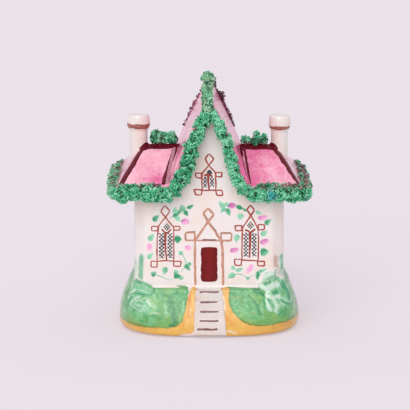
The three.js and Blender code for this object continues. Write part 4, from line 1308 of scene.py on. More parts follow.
def gable_route(way):
    """The middle of the gable rope, which sags inwards; on the left it is pushed in near the top."""
    z = np.linspace(GABLE_FOOT, GABLE_HEAD, 60)
    quarter = lerp(GABLE_FOOT, GABLE_HEAD, np.array([0.25, 0.75]))
    sag = GABLE_SAG * (1 - smooth_step(z, *quarter))
    x = (GABLE_RIDGE - z) / GABLE_PITCH - GABLE_INSET - sag
    if way < 0:
        x = x + 0.3 * np.exp(-((z - 91) / 4) ** 2) - 1.0 * np.exp(-((z - 99) / 7) ** 2)
    return np.stack([way * x, np.full_like(z, -TRIM_FACE), z], -1)


def front_route(way):
    """The middle of the eaves rope, from the gable rope's foot round the front corner."""
    start = gable_route(1)[0, 0]
    turn = np.linspace(-math.pi / 2, 0, 12)
    corner = np.stack([TRIM_X - CORNER + CORNER * np.cos(turn), CORNER - TRIM_Y + CORNER * np.sin(turn)], -1)
    plan = np.concatenate([[[start, -TRIM_Y]], corner])
    return np.concatenate([plan * [way, 1], np.full((len(plan), 1), TRIM_LEVEL)], axis=1)


def near_roof(strength, high=71.5):
    """More stain on top, where the trim meets the painted roof."""
    def stain_at(base, outward):
        top = smooth_step(base[:, 2], high - 1.6, high + 1.6) * smooth_step(outward[:, 2], 0.1, 0.7)
        inside = np.maximum(EAVES_HALF_WIDTH + 1 - np.abs(base[:, 0]), EAVES_HALF_DEPTH + 1 + base[:, 1])
        inner = smooth_step(inside, -2, 1) * smooth_step(base[:, 2], high - 2.5, high)
        return strength * np.maximum(top, 0.7 * inner)
    return stain_at


def patchy(level, swing, size, seed, more=lambda z: 0):
    """Stain in patches about size mm across, with as much more as a function of height says."""
    return lambda base, outward: level + swing * ripples(base, size, seed) + more(base[:, 2])


SMALL = dict(clump=(0.8, 1.3), spread=1.7, crowd=7, thick=(0.18, 0.3), long=(0.8, 1.6), settle=0.75)
TINY = dict(SMALL, clump=(0.6, 1.0), spread=1.5, crowd=9, long=(0.6, 1.3))


# The clay up the rear gable: thick at the peak on the right, thin and broken on the left.
REAR_TAPERS = {
    "right": lambda share: 0.6 + 0.4 * smooth_step(share, 0.25, 0.85) + 0.4 * smooth_step(share, 0.85, 1.0),
    "left": lambda share: np.clip(0.75 + 0.45 * np.sin(29 * share + 1.0), 0.25, 1.0),
}


# The tufts on the ridge, each of two or three heaps.
TUFT_TAPERS = {
    "right": lambda share: 0.88 + 0.12 * np.cos(TAU * (share - 0.55) / 0.45),
    "left": lambda share: 0.86 + 0.14 * np.cos(TAU * (share - 0.18) / 0.69),
}


def turquoise(base):
    """A blot of blue glaze on the right eaves."""
    return np.exp(-((base[:, 0] - 29.4) ** 2 + (base[:, 2] - 68.2) ** 2) / 7.5) * (base[:, 1] < -33)


def make_finial():
    route = [(-0.7, -TRIM_FACE, FINIAL_FOOT), (-0.5, -TRIM_FACE, FINIAL_HEAD)]
    rope = Rope(route, FRONTWARD, 3.2, 3.6, seed=1.3,
                taper=lambda share: 1 - 0.13 * np.sin(math.pi * share) ** 2 - 0.07 * share)
    manner = dict(worn=0.75, settle=0.7, light=-0.04)
    make_trim("crumb_finial", "gable_finial", *GREEN_CLAY, 101, [(rope, manner)])


def make_gable_trim(side, way, seed, aside, half_width, thin, clump, **manner):
    rope = Rope(gable_route(way) + [aside, 0, 0], FRONTWARD, half_width, 4.1, seed=2.9 + way, clump=clump,
                taper=lambda share: 1 - thin * smooth_step(share, 0.78, 1.0))
    make_trim(f"{side}_gable_crumbs", f"{side}_gable_trim", *GREEN_CLAY, seed, [(rope, manner)])


def make_front_trim(side, way, seed, lumps, worn, soil, belt_soil, belt_settle):
    rope = Rope(front_route(way), UPWARD, TRIM_HALF, TRIM_HALF, seed=4.2 + way, clump=lumps)
    ends = way * (TRIM_X - 2.2), way * (GABLE_HALF_WIDTH + 1)
    belt = Rope([(x, 0.4 - EAVES_HALF_DEPTH, EAVES + 0.1) for x in ends], UPWARD, 1.5, 1.35, seed=3.3,
                clump=0.5)
    make_trim(f"{side}_front_crumbs", f"{side}_eaves_trim_front", *GREEN_CLAY, seed, [
        (rope, dict(worn=worn, stain_at=near_roof(soil), blue_at=turquoise, settle=0.9)),
        (belt, dict(TINY, worn=0.3, stain_at=patchy(belt_soil, 0.5, 3, 90), settle=belt_settle))])


def make_side_trim(side, way, seed, lumps, worn, soil):
    ends = CORNER - TRIM_HALF - TRIM_Y, EAVES_HALF_DEPTH
    rope = Rope([(way * TRIM_X, y, TRIM_LEVEL) for y in ends], UPWARD, TRIM_HALF, TRIM_HALF,
                seed=5.7 + way, clump=lumps)
    x = way * (EAVES_HALF_WIDTH - 0.4)
    ends = 0.6 - EAVES_HALF_DEPTH, EAVES_HALF_DEPTH - 1
    belt = Rope([(x, y, EAVES + 0.2) for y in ends], UPWARD, 1.4, 1.4, seed=2.3, clump=0.5)
    make_trim(f"{side}_side_crumbs", f"{side}_eaves_trim_side", *GREEN_CLAY, seed, [
        (rope, dict(worn=worn, stain_at=near_roof(soil, 70.8), settle=0.9)),
        (belt, dict(TINY, worn=0.5, stain_at=patchy(0.6, 0.4, 4, 94), settle=0.5))])


def make_back_trim(side, way, seed):
    ends = way * GABLE_HALF_WIDTH, way * EAVES_HALF_WIDTH
    rope = Rope([(x, EAVES_HALF_DEPTH, EAVES - 1.3) for x in ends], UPWARD, 2.2, 2.6, seed=6.1 + way)
    manner = dict(SMALL, worn=0.2, stain_at=patchy(0.45, 0.4, 5, 91))
    make_trim(f"{side}_back_crumbs", f"{side}_eaves_trim_back", *DARK_CLAY, seed, [(rope, manner)])


def make_rear_trim(side, way, seed, half_width, settle):
    foot = (way * REAR_DROP / GABLE_PITCH, EAVES_HALF_DEPTH, GABLE_RIDGE - REAR_DROP)
    rope = Rope([foot, (0, EAVES_HALF_DEPTH, GABLE_RIDGE)], FRONTWARD, half_width, 1.5, seed=7.7 + way,
                clump=0.5, taper=REAR_TAPERS[side])
    soiled = patchy(0.2, 0.5, 6, 92, more=lambda z: 0.7 * smooth_step(z, 106, 111))
    manner = dict(TINY, worn=0.2, settle=settle, stain_at=soiled)
    make_trim(f"{side}_rear_crumbs", f"{side}_rear_gable_trim", *DARK_CLAY, seed, [(rope, manner)])


def make_tuft(side, way, seed, height, half_depth, worn):
    level = WING_RIDGE + height
    ends = way * ((GABLE_RIDGE - level) / GABLE_PITCH + 2.0), way * (CHIMNEY_X - STACK_RADIUS - 0.8)
    rope = Rope([(x, 0, level) for x in ends], UPWARD, 3.1, half_depth, seed=8.4 + way, clump=0.2,
                taper=TUFT_TAPERS[side])
    low = WING_RIDGE + 0.2
    soiled = patchy(0, 0.2, 5, 93, more=lambda z: 0.6 * (1 - smooth_step(z, low, low + 2)))
    manner = dict(clump=(0.9, 1.6), settle=0.7, light=-0.04, worn=worn, stain_at=soiled)
    make_trim(f"{side}_tuft_crumbs", f"{side}_ridge_tuft", *GREEN_CLAY, seed, [(rope, manner)])


make_finial()
make_gable_trim("right", 1, 110, 0.5, half_width=3.2, thin=0.55, clump=0.14, worn=0.3, settle=1.1, light=0.07)
make_front_trim("right", 1, 111, lumps=0.12, worn=0.25, soil=0.7, belt_soil=0.55, belt_settle=0.3)
make_side_trim("right", 1, 112, lumps=0.12, worn=0.25, soil=0.95)
make_back_trim("right", 1, 113)
make_rear_trim("right", 1, 114, half_width=2.0, settle=0.35)
make_tuft("right", 1, 115, height=1.6, half_depth=3.4, worn=0.2)
make_gable_trim("left", -1, 150, 0, half_width=3.5, thin=0.25, clump=0.24, worn=0.1, settle=0.75, light=-0.08)
make_front_trim("left", -1, 151, lumps=0.26, worn=0.05, soil=0.3, belt_soil=0.2, belt_settle=0.6)
make_side_trim("left", -1, 152, lumps=0.26, worn=0.55, soil=0.6)
make_back_trim("left", -1, 153)
make_rear_trim("left", -1, 154, half_width=1.1, settle=0.5)
make_tuft("left", -1, 155, height=2.3, half_depth=4.5, worn=0.35)


# Corner shrubs: leaves modelled in one low mass of clay that runs from the bank up the canted corner.
# Each pad: its base and its tip, as arc length and height, then width and relief.
PADS = {
    "left": [
        (-47.0, 21.2, -29.4, 18.8, 10.5, 0.2), (-45.0, 13.0, -26.0, 13.4, 10.0, 0.2),
        (-46.5, 23.2, -29.4, 19.6, 6.6, 0.95), (-42.9, 13.8, -27.7, 14.2, 6.7, 0.5),
        (-44.9, 14.6, -39.0, 22.4, 4.6, 0.55)],
    "right": [
        (27.2, 24.2, 46.8, 22.6, 10.0, 0.2), (29.0, 16.2, 47.0, 14.5, 9.0, 0.2),
        (27.0, 25.0, 40.0, 29.2, 6.6, 0.55), (28.1, 22.7, 38.9, 24.7, 6.2, 0.8),
        (30.0, 18.7, 40.7, 20.0, 6.2, 0.8), (43.2, 26.0, 43.3, 13.0, 7.0, 1.1),
        (31.0, 18.3, 30.0, 10.4, 5.2, 0.45), (34.8, 18.0, 33.2, 10.0, 5.2, 0.5)],
}
# Brush strokes on them: width, strength, and places as arc length and height.
# The pale strokes are partly glaze run thin on the raised leaves and partly painted highlights on them.
SHRUB_PALE_AND_HIGHLIGHTS = {
    "left": [
        (1.6, 0.5, [(-36.8, 23.1), (-34.0, 22.5)]), (1.2, 0.7, [(-38.7, 20.7), (-35.8, 20.4)]),
        (1.1, 0.95, [(-43.4, 16.5), (-41.6, 18.6), (-39.9, 20.8)]),
        (3.3, 0.6, [(-45.0, 19.5), (-43.9, 22.5)]), (1.9, 0.6, [(-38.3, 16.2), (-34.5, 16.2)]),
        (1.3, 0.85, [(-40.6, 14.2), (-39.6, 16.2), (-37.6, 17.5), (-35.3, 17.4), (-33.2, 16.8),
            (-30.8, 15.8), (-28.1, 13.2)]),
        (0.9, 0.35, [(-34.7, 13.8), (-34.1, 13.4)])],
    "right": [
        (3.3, 1.0, [(28.7, 26.4), (32.3, 28.2), (35.5, 29.0)]), (3.3, 0.95, [(28.4, 23.7), (30.3, 22.0)]),
        (3.1, 1.0, [(31.5, 20.8), (33.7, 22.6), (38.2, 23.4)]),
        (2.6, 0.95, [(31.7, 18.4), (32.9, 17.2), (36.7, 17.7)]), (2.4, 0.95, [(29.8, 20.4), (30.6, 18.2)]),
        (0.9, 0.7, [(38.2, 17.3), (40.4, 15.3), (42.4, 14.6)]),
        (1.1, 0.95, [(44.5, 23.8), (46.6, 20.6), (45.9, 17.4), (43.4, 14.8)]),
        (1.9, 0.5, [(41.2, 26.6), (40.9, 24.3)]), (2.4, 0.7, [(29.8, 16.3), (29.9, 13.8), (30.3, 12.0)]),
        (2.6, 0.75, [(33.4, 16.4), (34.2, 14.3), (32.8, 11.5)]),
        (0.6, 0.5, [(42.1, 22.6), (43.6, 20.7), (43.5, 18.9)])],
}
# Deep strokes: mostly the leaves' dark hearts and green brushwork, but on the left the line under the big
# leaf's lower edge and the mark at its tip are painted shade.
SHRUB_DEEP_AND_SHADE = {
    "left": [
        (3.3, 0.85, [(-43.0, 25.4), (-38.4, 24.1)]),
        (3.8, 0.4, [(-38.7, 24.6), (-34.7, 23.1), (-32.2, 21.0)]),
        (0.8, 1.0, [(-39.1, 19.0), (-36.2, 18.8), (-33.9, 19.0), (-31.4, 18.6), (-30.5, 19.4),
            (-30.7, 21.1)]),
        (1.2, 1.0, [(-30.5, 22.4), (-30.2, 20.0)]),
        (0.8, 0.8, [(-44.0, 16.7), (-41.7, 18.2), (-39.3, 19.0)]),
        (0.7, 0.7, [(-36.6, 14.3), (-36.1, 15.3), (-34.5, 15.4), (-33.2, 14.4), (-33.4, 12.9),
            (-35.0, 12.5), (-36.6, 13.2)]),
        (2.4, 0.5, [(-45.1, 15.7), (-42.9, 13.8), (-43.0, 10.9)]),
        (1.4, 0.7, [(-31.8, 17.8), (-27.4, 16.4)])],
    "right": [
        (1.9, 0.8, [(37.6, 30.0), (37.5, 25.8)]), (1.2, 0.4, [(39.4, 30.6), (42.0, 28.5)]),
        (2.3, 1.0, [(31.0, 23.8), (33.4, 24.7)]), (2.3, 1.0, [(34.4, 19.5), (36.2, 19.8)]),
        (3.6, 0.9, [(41.4, 22.7), (42.3, 20.5), (42.8, 17.7), (42.7, 16.3)]),
        (1.0, 0.95, [(30.8, 16.9), (31.0, 15.8)]), (1.7, 0.85, [(37.5, 15.8), (39.9, 14.2), (42.5, 13.5)]),
        (1.4, 0.5, [(38.2, 13.3), (40.1, 11.1)]), (1.4, 0.45, [(31.2, 15.3), (32.2, 13.8)])],
}
WALL_SHARE = 0.86  # length round the wall for each length round the bank


def on_corner(spots):
    """The clay skin of a corner: bank below, wall above, and a fillet over the ledge between them."""
    arc, z = spots[..., 0], spots[..., 1]
    bank = bank_point(bank_angle(arc), np.minimum(z, MOUND_TOP - MOUND_EDGE))
    share = smooth_step(z, MOUND_TOP - 1.3, MOUND_TOP + 4.1)[..., None]
    skin = lerp(bank, wall_point(arc * WALL_SHARE, z), share)
    skin[..., 2] = z
    return skin


def leaf_field(spots, pads):
    """Relief of the pads, and how well inside them each spot lies."""
    arc, z = spots[..., 0], spots[..., 1]
    ragged = 0.1 * ripples(np.stack([arc, z, 0 * arc], -1), 2.4, 97)
    height, within = 0 * arc, 0 * arc
    for base_arc, base_z, tip_arc, tip_z, width, relief in pads:
        long = math.hypot(tip_arc - base_arc, tip_z - base_z)
        lead = (tip_arc - base_arc) / long, (tip_z - base_z) / long
        share = ((arc - base_arc) * lead[0] + (z - base_z) * lead[1]) / long
        side = (z - base_z) * lead[0] - (arc - base_arc) * lead[1]
        sway = 0.05 * width * np.sin(3.5 * share * math.pi + base_z)
        off = np.hypot(np.abs(2 * share - 1) ** 1.25, (side + sway) / (0.5 * width))
        off = off * (1 + 0.07 * np.cos(3 * np.arctan2(side, (share - 0.5) * long) + base_arc)) + ragged
        height = np.maximum(height, relief * np.clip(1 - off ** 2, 0, 1) ** 1.3)
        within = np.maximum(within, 1 - smooth_step(off, 0.3, 1.0))
    return height, within


def make_shrub(side, way):
    arc, z = np.meshgrid(way * np.linspace(24, 53, 150), np.linspace(5, 40.6, 180), indexing="ij")
    spots = np.stack([arc, z], -1)
    height, within = leaf_field(spots, PADS[side])
    skin = on_corner(spots)
    normal = unit(np.cross(*tangents(on_corner, spots, 0.05)))
    filled = np.exp(-((z - MOUND_TOP - 1.2) / 3.0) ** 4) * between(np.abs(arc), 35, 38, 47, 51)
    rise = np.maximum(height + 0.08 * ripples(skin, 3, 95), 0.03)
    sunk = -0.55 - 2.4 * np.exp(-((z - MOUND_TOP - 1.5) / 3.2) ** 2)
    rise = np.where(height > 0.02, rise, lerp(sunk, 0.12, filled))
    values = {
        "pale": brushwork(spots, SHRUB_PALE_AND_HIGHLIGHTS[side], 0.1), "deep": brushwork(spots, SHRUB_DEEP_AND_SHADE[side], 0.2),
        "thin": (1 - within) * smooth_step(z, 22.8, 26.0), "within": within,
        # crease: where the relief just above stands higher, under a leaf's lower edge, for painted shade.
        "crease": smooth_step(np.roll(height, -5, axis=1) - height, 0.1, 0.45)}
    outer, inner = skin + normal * rise[..., None], skin + normal * (np.minimum(rise, 0) - 1.0)[..., None]
    clay = Clay()
    add_sheet(clay, outer[::way], inner[::way], **{name: value[::way] for name, value in values.items()})
    clay.piece(f"{side}_shrub_leaves", glazes["shrub"], [f"{side}_corner_shrub"], "grass_enamel", crease=50)


make_shrub("left", -1)
make_shrub("right", 1)


# Lines painted on the roof.
def make_roof_lines():
    maroon, valley_shade_clay = Clay(), Clay()

    def line(path, width, seed, first=1.0, last=1.0, clay=maroon, tint=0.68):
        """A line as wide as first says at its start and as last says at its end, both of them rounded."""
        def girth(share):
            return lerp(first, last, share) * np.sin(math.pi * lerp(0.03, 0.97, share)) ** 0.125

        add_stroke(clay, on_roof, path, width, seed=seed, shake=0.16, tint=tint, strips=9, bend=2.5,
                   outline=girth)

    line([(-14.6, -2.3), (-23, -2.4), (-30, -2.5), (-31.6, -3.0)], 5.2, 200)
    line([(-30.8, -2.4), (-32.7, -5.0), (-35.5, -12.2), (-39.2, -23.2), (-41.6, -30.2)], 3.0, 201)
    # A grey-mauve line along the left valley: painted shade in the crevice between the gable and the wing.
    line([(-16.6, -3.6), (-18.0, -12.9), (-19.0, -20.1), (-19.8, -30.2)], 2.3, 211, clay=valley_shade_clay, tint=0.5)
    line([(-14.7, -1.6), (-15.4, -5.0), (-16.4, -9.4), (-17.1, -13.6)], 1.9, 202, last=0.3)
    line([(-18.2, -9.5), (-19.5, -17.2), (-20.6, -23.6), (-21.8, -30.6)], 2.3, 203, first=0.3)
    line([(-18.6, -25.8), (-18.9, -29.6)], 1.2, 213, tint=0.5)
    line([(-28.6, -3.2), (-31.0, -4.6), (-33.0, -5.4), (-34.2, -6.6)], 2.2, 214)
    line([(28.8, -3.3), (31.2, -4.8), (33.0, -5.5), (34.4, -7.0)], 2.4, 215)
    line([(15.3, -2.4), (22, -2.6), (28, -2.7), (30.0, -3.1)], 5.4, 204)
    line([(29.8, -2.3), (32.9, -5.0), (35.9, -12.2), (39.0, -20.6), (42.5, -30.2)], 4.7, 205, last=0.42)
    line([(15.1, -1.8), (15.8, -8), (16.3, -15), (16.9, -24), (17.5, -30.6)], 2.9, 206, first=0.5)
    line([(16.9, -2.0), (17.7, -10), (18.4, -20.2), (19.5, -30.6)], 1.15, 207)
    line([(15.9, -2.4), (16.3, -6.6)], 2.2, 208, last=0.25)
    maroon.piece("roof_lines", glazes["maroon"])
    valley_shade_clay.piece("painted_valley_shade", glazes["valley_shade_line"])


# The painted front.
WINDOWS = [
    dict(line=0.62, paths=[
        [(-24.7, 34.9), (-24.8, 40.5), (-24.5, 47.4), (-24.0, 51.6), (-22.5, 54.0), (-20.6, 56.2),
         (-18.5, 59.4), (-21.1, 61.9), (-23.0, 59.0), (-20.6, 56.2), (-18.8, 53.7), (-16.8, 51.4),
         (-16.7, 44.0), (-16.8, 34.9)],
        [(-24.7, 34.8), (-20.1, 35.0), (-16.8, 34.9)]],
        bar=[(-20.7, 48.3), (-20.8, 43.3), (-20.6, 39.1), (-20.1, 35.0)],
        fork=[(-22.5, 50.5), (-21.0, 48.7), (-19.6, 48.7), (-17.9, 50.5)],
        boxes=[[(-27.3, 51.8), (-24.2, 51.8), (-24.4, 49.6), (-27.2, 49.6)],
               [(-16.8, 51.8), (-13.7, 51.7), (-13.9, 50.0), (-16.6, 49.8)],
               [(-27.6, 34.8), (-24.7, 34.7), (-24.8, 31.9), (-27.7, 31.9)],
               [(-16.8, 34.7), (-13.4, 34.7), (-13.6, 32.2), (-16.8, 32.4)]],
        panes=[(-23.9, -21.2, 36.2, 48.6), (-19.8, -17.3, 36.2, 48.6)], head=(-20.0, 51.5, 1.5)),
    dict(line=0.7, paths=[
        [(15.7, 34.9), (15.7, 44.0), (15.9, 51.1), (17.7, 53.8), (19.9, 57.1), (21.6, 59.7), (19.5, 62.2),
         (17.9, 59.9), (19.9, 57.1), (21.6, 54.0), (23.2, 50.9), (23.6, 44.0), (23.4, 34.9)],
        [(15.8, 35.3), (19.4, 35.1), (23.5, 35.0)]],
        bar=[(19.6, 48.8), (19.5, 44.0), (19.3, 36.4)],
        fork=[(17.0, 50.0), (18.7, 49.6), (19.6, 48.6), (20.8, 49.5), (22.1, 50.6)],
        boxes=[[(12.3, 52.1), (15.5, 52.2), (15.6, 49.8), (12.7, 49.7)],
               [(23.4, 52.6), (26.4, 52.6), (26.3, 50.2), (23.6, 50.0)],
               [(12.1, 35.8), (15.6, 35.6), (15.4, 32.7), (12.4, 32.8)],
               [(23.1, 34.7), (26.5, 34.7), (26.5, 32.4), (23.2, 32.5)]],
        panes=[(16.4, 18.8, 37.0, 48.8), (20.3, 22.7, 37.1, 48.5)], head=(19.7, 52.3, 1.5)),
    dict(line=0.72, paths=[
        [(-3.2, 69.3), (-3.3, 73.0), (-3.3, 77.6), (-1.6, 79.5), (-0.1, 81.2), (2.4, 84.5), (-0.1, 86.9),
         (-1.9, 84.5), (-0.1, 81.2), (1.6, 79.5), (3.1, 77.8), (3.2, 73.0), (3.2, 69.3)],
        [(-3.3, 69.3), (-0.1, 69.2), (3.2, 69.3)]],
        bar=[(-0.2, 77.2), (-0.4, 73.0), (0.1, 69.3)],
        fork=[(-2.5, 76.6), (-0.3, 76.7), (1.8, 76.0)],
        boxes=[[(-6.4, 77.5), (-3.5, 77.6), (-3.6, 75.0), (-6.2, 75.5)],
               [(3.2, 77.9), (6.2, 77.9), (6.0, 75.8), (3.3, 75.8)],
               [(-7.0, 69.7), (-3.4, 69.5), (-3.6, 67.1), (-6.4, 67.1)],
               [(3.2, 69.3), (6.2, 69.2), (6.5, 66.8), (3.7, 66.8)]],
        panes=[(-2.7, -1.1, 70.4, 75.9), (0.4, 2.4, 71.0, 75.8)], head=(0.2, 77.8, 1.0)),
]
DOOR_LINES = [
    (1.15, [(-6.6, 44.9), (-6.7, 40.5), (-6.7, 34.4), (-6.5, 22.3)]),
    (1.2, [(5.9, 44.9), (6.4, 40.5), (6.6, 32.4), (6.9, 22.3)]),
    (1.05, [(-6.2, 45.3), (-3.4, 49.8), (-0.5, 54.1), (2.3, 57.5), (-0.3, 60.7), (-2.8, 58.3),
        (-0.5, 54.1), (2.5, 49.8), (5.5, 45.3)]),
    (0.85, [(-6.4, 44.9), (-0.7, 44.9), (5.5, 44.9)])]
DOOR_BOXES = [
    [(-11.1, 48.7), (-6.7, 48.7), (-6.7, 44.9), (-11.1, 45.0)],
    [(5.7, 48.5), (10.8, 48.3), (10.6, 44.9), (5.9, 44.9)]]
# Umber shading where the painter went over the door's lines again: width and path.
DOOR_SHADES = [
    (0.95, [(-3.2, 45.1), (0.1, 45.2), (3.5, 45.1)]), (0.4, [(-10.6, 49.1), (-8.2, 49.15), (-6.3, 49.05)]),
    (0.4, [(5.3, 48.5), (6.4, 48.8), (10.4, 48.7)]), (0.38, [(0.9, 52.6), (2.3, 50.9), (3.6, 49.1)]),
    (0.42, [(-2.3, 57.4), (-1.4, 56.2), (-0.6, 55.4)]), (0.35, [(-11.5, 48.2), (-11.5, 45.4)])]
# Stalk, tip, width and depth of colour of each painted leaf, bloom and bud.
LEAVES = [
    (-26.6, 54.3, -23.6, 57.4, 2.3, 0.7), (-16.1, 58.0, -15.7, 61.4, 2.5, 0.25),
    (-12.3, 58.8, -12.8, 62.6, 3.1, 0.5), (-10.5, 60.6, -7.1, 62.4, 1.8, 0.75),
    (-11.6, 59.5, -10.2, 56.5, 2.0, 0.75), (-17.3, 56.5, -13.7, 58.6, 2.0, 0.85),
    (-15.6, 56.6, -13.7, 54.3, 2.3, 0.2), (-13.7, 59.5, -15.7, 57.5, 1.9, 0.6),
    (-28.7, 44.8, -26.1, 48.2, 2.7, 0.35), (-29.1, 35.7, -26.6, 38.8, 2.3, 0.3),
    (-16.4, 45.3, -12.8, 45.5, 3.7, 0.85), (-12.6, 38.1, -14.7, 39.7, 2.2, 0.4),
    (-11.3, 33.4, -9.0, 29.9, 2.3, 0.75), (-9.0, 34.3, -11.0, 32.2, 2.1, 0.45),
    (-20.8, 32.1, -21.7, 28.0, 2.6, 0.5), (-25.4, 28.0, -28.0, 29.1, 2.8, 0.65),
    (-15.1, 28.4, -16.8, 30.6, 2.5, 0.5), (-16.8, 26.8, -13.7, 28.2, 2.3, 0.95),
    (-15.1, 27.3, -12.6, 26.6, 2.2, 0.6), (-12.5, 25.9, -13.7, 27.7, 1.9, 0.3),
    (7.6, 61.1, 4.7, 64.1, 2.5, 0.35), (7.6, 61.1, 5.7, 58.3, 2.4, 0.4),
    (8.2, 60.6, 10.0, 56.7, 2.3, 0.65), (7.8, 61.5, 8.6, 63.8, 2.1, 0.25),
    (13.0, 61.8, 16.8, 60.3, 2.1, 0.95), (16.4, 60.2, 18.1, 59.0, 1.4, 0.6),
    (15.1, 58.2, 14.7, 54.8, 3.0, 0.25), (22.1, 59.1, 25.2, 57.7, 1.6, 0.35),
    (26.7, 52.5, 29.8, 55.3, 2.4, 0.6), (24.8, 47.3, 27.9, 49.6, 2.5, 0.3),
    (24.4, 39.3, 28.7, 39.7, 4.1, 0.65), (13.5, 47.8, 12.9, 43.8, 2.5, 0.35),
    (10.7, 32.0, 12.6, 30.4, 2.0, 0.3), (12.6, 30.0, 16.5, 31.6, 1.9, 0.35),
    (12.4, 28.4, 8.8, 26.2, 2.5, 0.45), (18.3, 27.2, 18.8, 25.5, 1.7, 0.5),
    (23.6, 29.8, 22.9, 25.4, 2.1, 0.85), (23.3, 28.9, 28.0, 30.9, 1.7, 0.4)]
BLOOMS = [
    (-13.2, 53.9, -9.2, 54.1, 3.7, 0.5), (-28.3, 43.5, -28.3, 39.7, 3.2, 0.35),
    (-11.6, 41.2, -8.3, 41.2, 3.2, 0.35), (9.1, 61.9, 13.0, 62.0, 3.6, 0.7),
    (23.2, 55.8, 27.9, 56.4, 2.9, 0.45), (24.4, 43.6, 28.7, 45.3, 3.4, 0.6),
    (9.9, 39.7, 14.5, 40.8, 3.2, 0.55), (20.6, 33.3, 18.0, 28.6, 2.7, 0.25)]
BUDS = [
    (-13.4, 54.1, -12.1, 54.8, 1.0, 0.5), (9.2, 60.9, 9.4, 63.0, 1.1, 0.6),
    (-27.0, 28.9, -26.6, 29.5, 0.4, 0.5)]
STEMS = [
    [(-18.7, 55.8), (-16.1, 56.8), (-13.7, 58.2), (-11.5, 59.5)],
    [(-12.9, 38.6), (-11.6, 36.3), (-10.9, 33.4), (-11.7, 31.4), (-13.8, 29.3)],
    [(-25.5, 28.0), (-22.5, 27.1), (-19.1, 25.3), (-16.8, 26.4)], [(11.9, 62.0), (13.4, 61.9)],
    [(12.2, 28.3), (15.3, 28.4), (18.5, 26.5), (21.5, 28.0), (23.1, 28.7)]]


LATTICE_PITCH = 1.75


def add_lattice(black, left, right, low, high, seed):
    """Crossed slanting lines that fill a pane, each cut off at the pane's top and foot."""
    draw = np.random.default_rng(seed)
    rise = 1.1 * (right - left)
    for k, foot in enumerate(np.arange(low - rise + 0.5, high, LATTICE_PITCH)):
        for way in (1, -1):
            start, end = foot + draw.uniform(-0.1, 0.1), foot + rise + draw.uniform(-0.1, 0.1)
            first, last = (np.clip(z, low, high) for z in (start, end))
            share = [(z - start) / (end - start) for z in (first, last)]
            if share[1] - share[0] < 0.15:
                continue
            x = [lerp(left, right, s if way > 0 else 1 - s) for s in share]
            width, tint = draw.uniform(0.36, 0.54), draw.uniform(0.5, 0.9)
            path = [(x[0], first), (x[1], last)]
            add_stroke(black, on_wall, path, width, seed=seed + 2 * k + way, rise=0.05, strips=3, tint=tint)


def make_window(red, black, window, seed):
    """One window's red lines and boxes, and the black lattice in its panes and its head."""
    line = window["line"]
    for i, path in enumerate(window["paths"]):
        add_stroke(red, on_wall, path, line, bend=0.75, seed=seed + i, shake=0.06, rise=0.07, tint=0.6)
    add_stroke(red, on_wall, window["bar"], line * 1.9, bend=1, seed=seed + 8, shake=0.05, rise=0.09,
               tint=0.75, outline=lambda share: 1 - 0.45 * share)
    add_stroke(red, on_wall, window["fork"], line * 1.35, bend=0.5, seed=seed + 9, shake=0.05, rise=0.08,
               tint=0.75)
    for i, box in enumerate(window["boxes"]):
        add_stroke(red, on_wall, box, line, closed=True, bend=0.4, seed=seed + 20 + i, rise=0.07, tint=0.55)
    for i, pane in enumerate(window["panes"]):
        add_lattice(black, *pane, seed + 30 + 40 * i)
    x, z, half = window["head"]
    for i, shift in enumerate((-0.75, -0.05, 0.7)):
        for way in (1, -1):
            a, b = x - shift * way, z + shift
            path = [(a - half * way * 0.62, b - half * 0.72), (a + half * way * 0.62, b + half * 0.72)]
            add_stroke(black, on_wall, path, 0.4, seed=seed + 90 + 2 * i + way, rise=0.05, strips=3, tint=0.6)


def add_dabs(clay, dabs, outline, seed, rise, full=1.0):
    """Leaves or petals, each a single dab from its stalk to its tip, bent a little."""
    draw = np.random.default_rng(seed)
    for i, (x, z, tip_x, tip_z, width, tint) in enumerate(dabs):
        curve = draw.uniform(-0.1, 0.1)
        middle = ((x + tip_x) / 2 - curve * (tip_z - z), (z + tip_z) / 2 + curve * (tip_x - x))
        add_stroke(clay, on_wall, [(x, z), middle, (tip_x, tip_z)], width * full, outline=outline, bend=2.5,
                   rise=rise, strips=10, spacing=0.18, seed=seed + 3 * i, tint=tint)


def make_painting():
    red, black, brown, umber = Clay(), Clay(), Clay(), Clay()
    for i, window in enumerate(WINDOWS):
        make_window(red, black, window, 300 + 200 * i)
    blot = [(-0.6, 78.9), (0.3, 78.0), (1.0, 76.9)]
    add_stroke(black, on_wall, blot, 1.9, outline=petal_width, rise=0.1, seed=299)
    black.piece("window_lattice", glazes["black"])
    red.piece("window_lines", glazes["iron_red"])
    for i, (width, path) in enumerate(DOOR_LINES):
        add_stroke(brown, on_wall, path, width, bend=0.9, seed=920 + i, shake=0.08, rise=0.09)
    for i, box in enumerate(DOOR_BOXES):
        add_stroke(brown, on_wall, box, 0.9, closed=True, seed=930 + i, rise=0.09)
    brown.piece("door_lines", glazes["brown"])
    for i, (width, path) in enumerate(DOOR_SHADES):
        add_stroke(umber, on_wall, path, width, bend=0.8, rise=0.13, seed=940 + i, tint=0.6)
    umber.piece("door_shades", glazes["umber"])
    door = Clay()
    add_stroke(door, on_wall, [(0.1, 41.8), (0.15, 24.6)], 7.9, outline=panel_width, rise=0.16, dome=8,
               strips=24, spacing=0.2, seed=960, shake=0.07)
    door.piece("door_panel", glazes["door"])
    green, rose, bud = Clay(), Clay(), Clay()
    for i, path in enumerate(STEMS):
        add_stroke(green, on_wall, path, 0.5, bend=1.5, seed=980 + i, rise=0.05)
    add_dabs(green, LEAVES, leaf_width, 1000, 0.05, 1.4)
    add_dabs(rose, BLOOMS, petal_width, 1200, 0.06, 1.18)
    add_dabs(bud, BUDS, petal_width, 1300, 0.17)
    green.piece("painted_leaves", glazes["leaf"])
    rose.piece("painted_blooms", glazes["rose"])
    bud.piece("painted_buds", glazes["bud"])


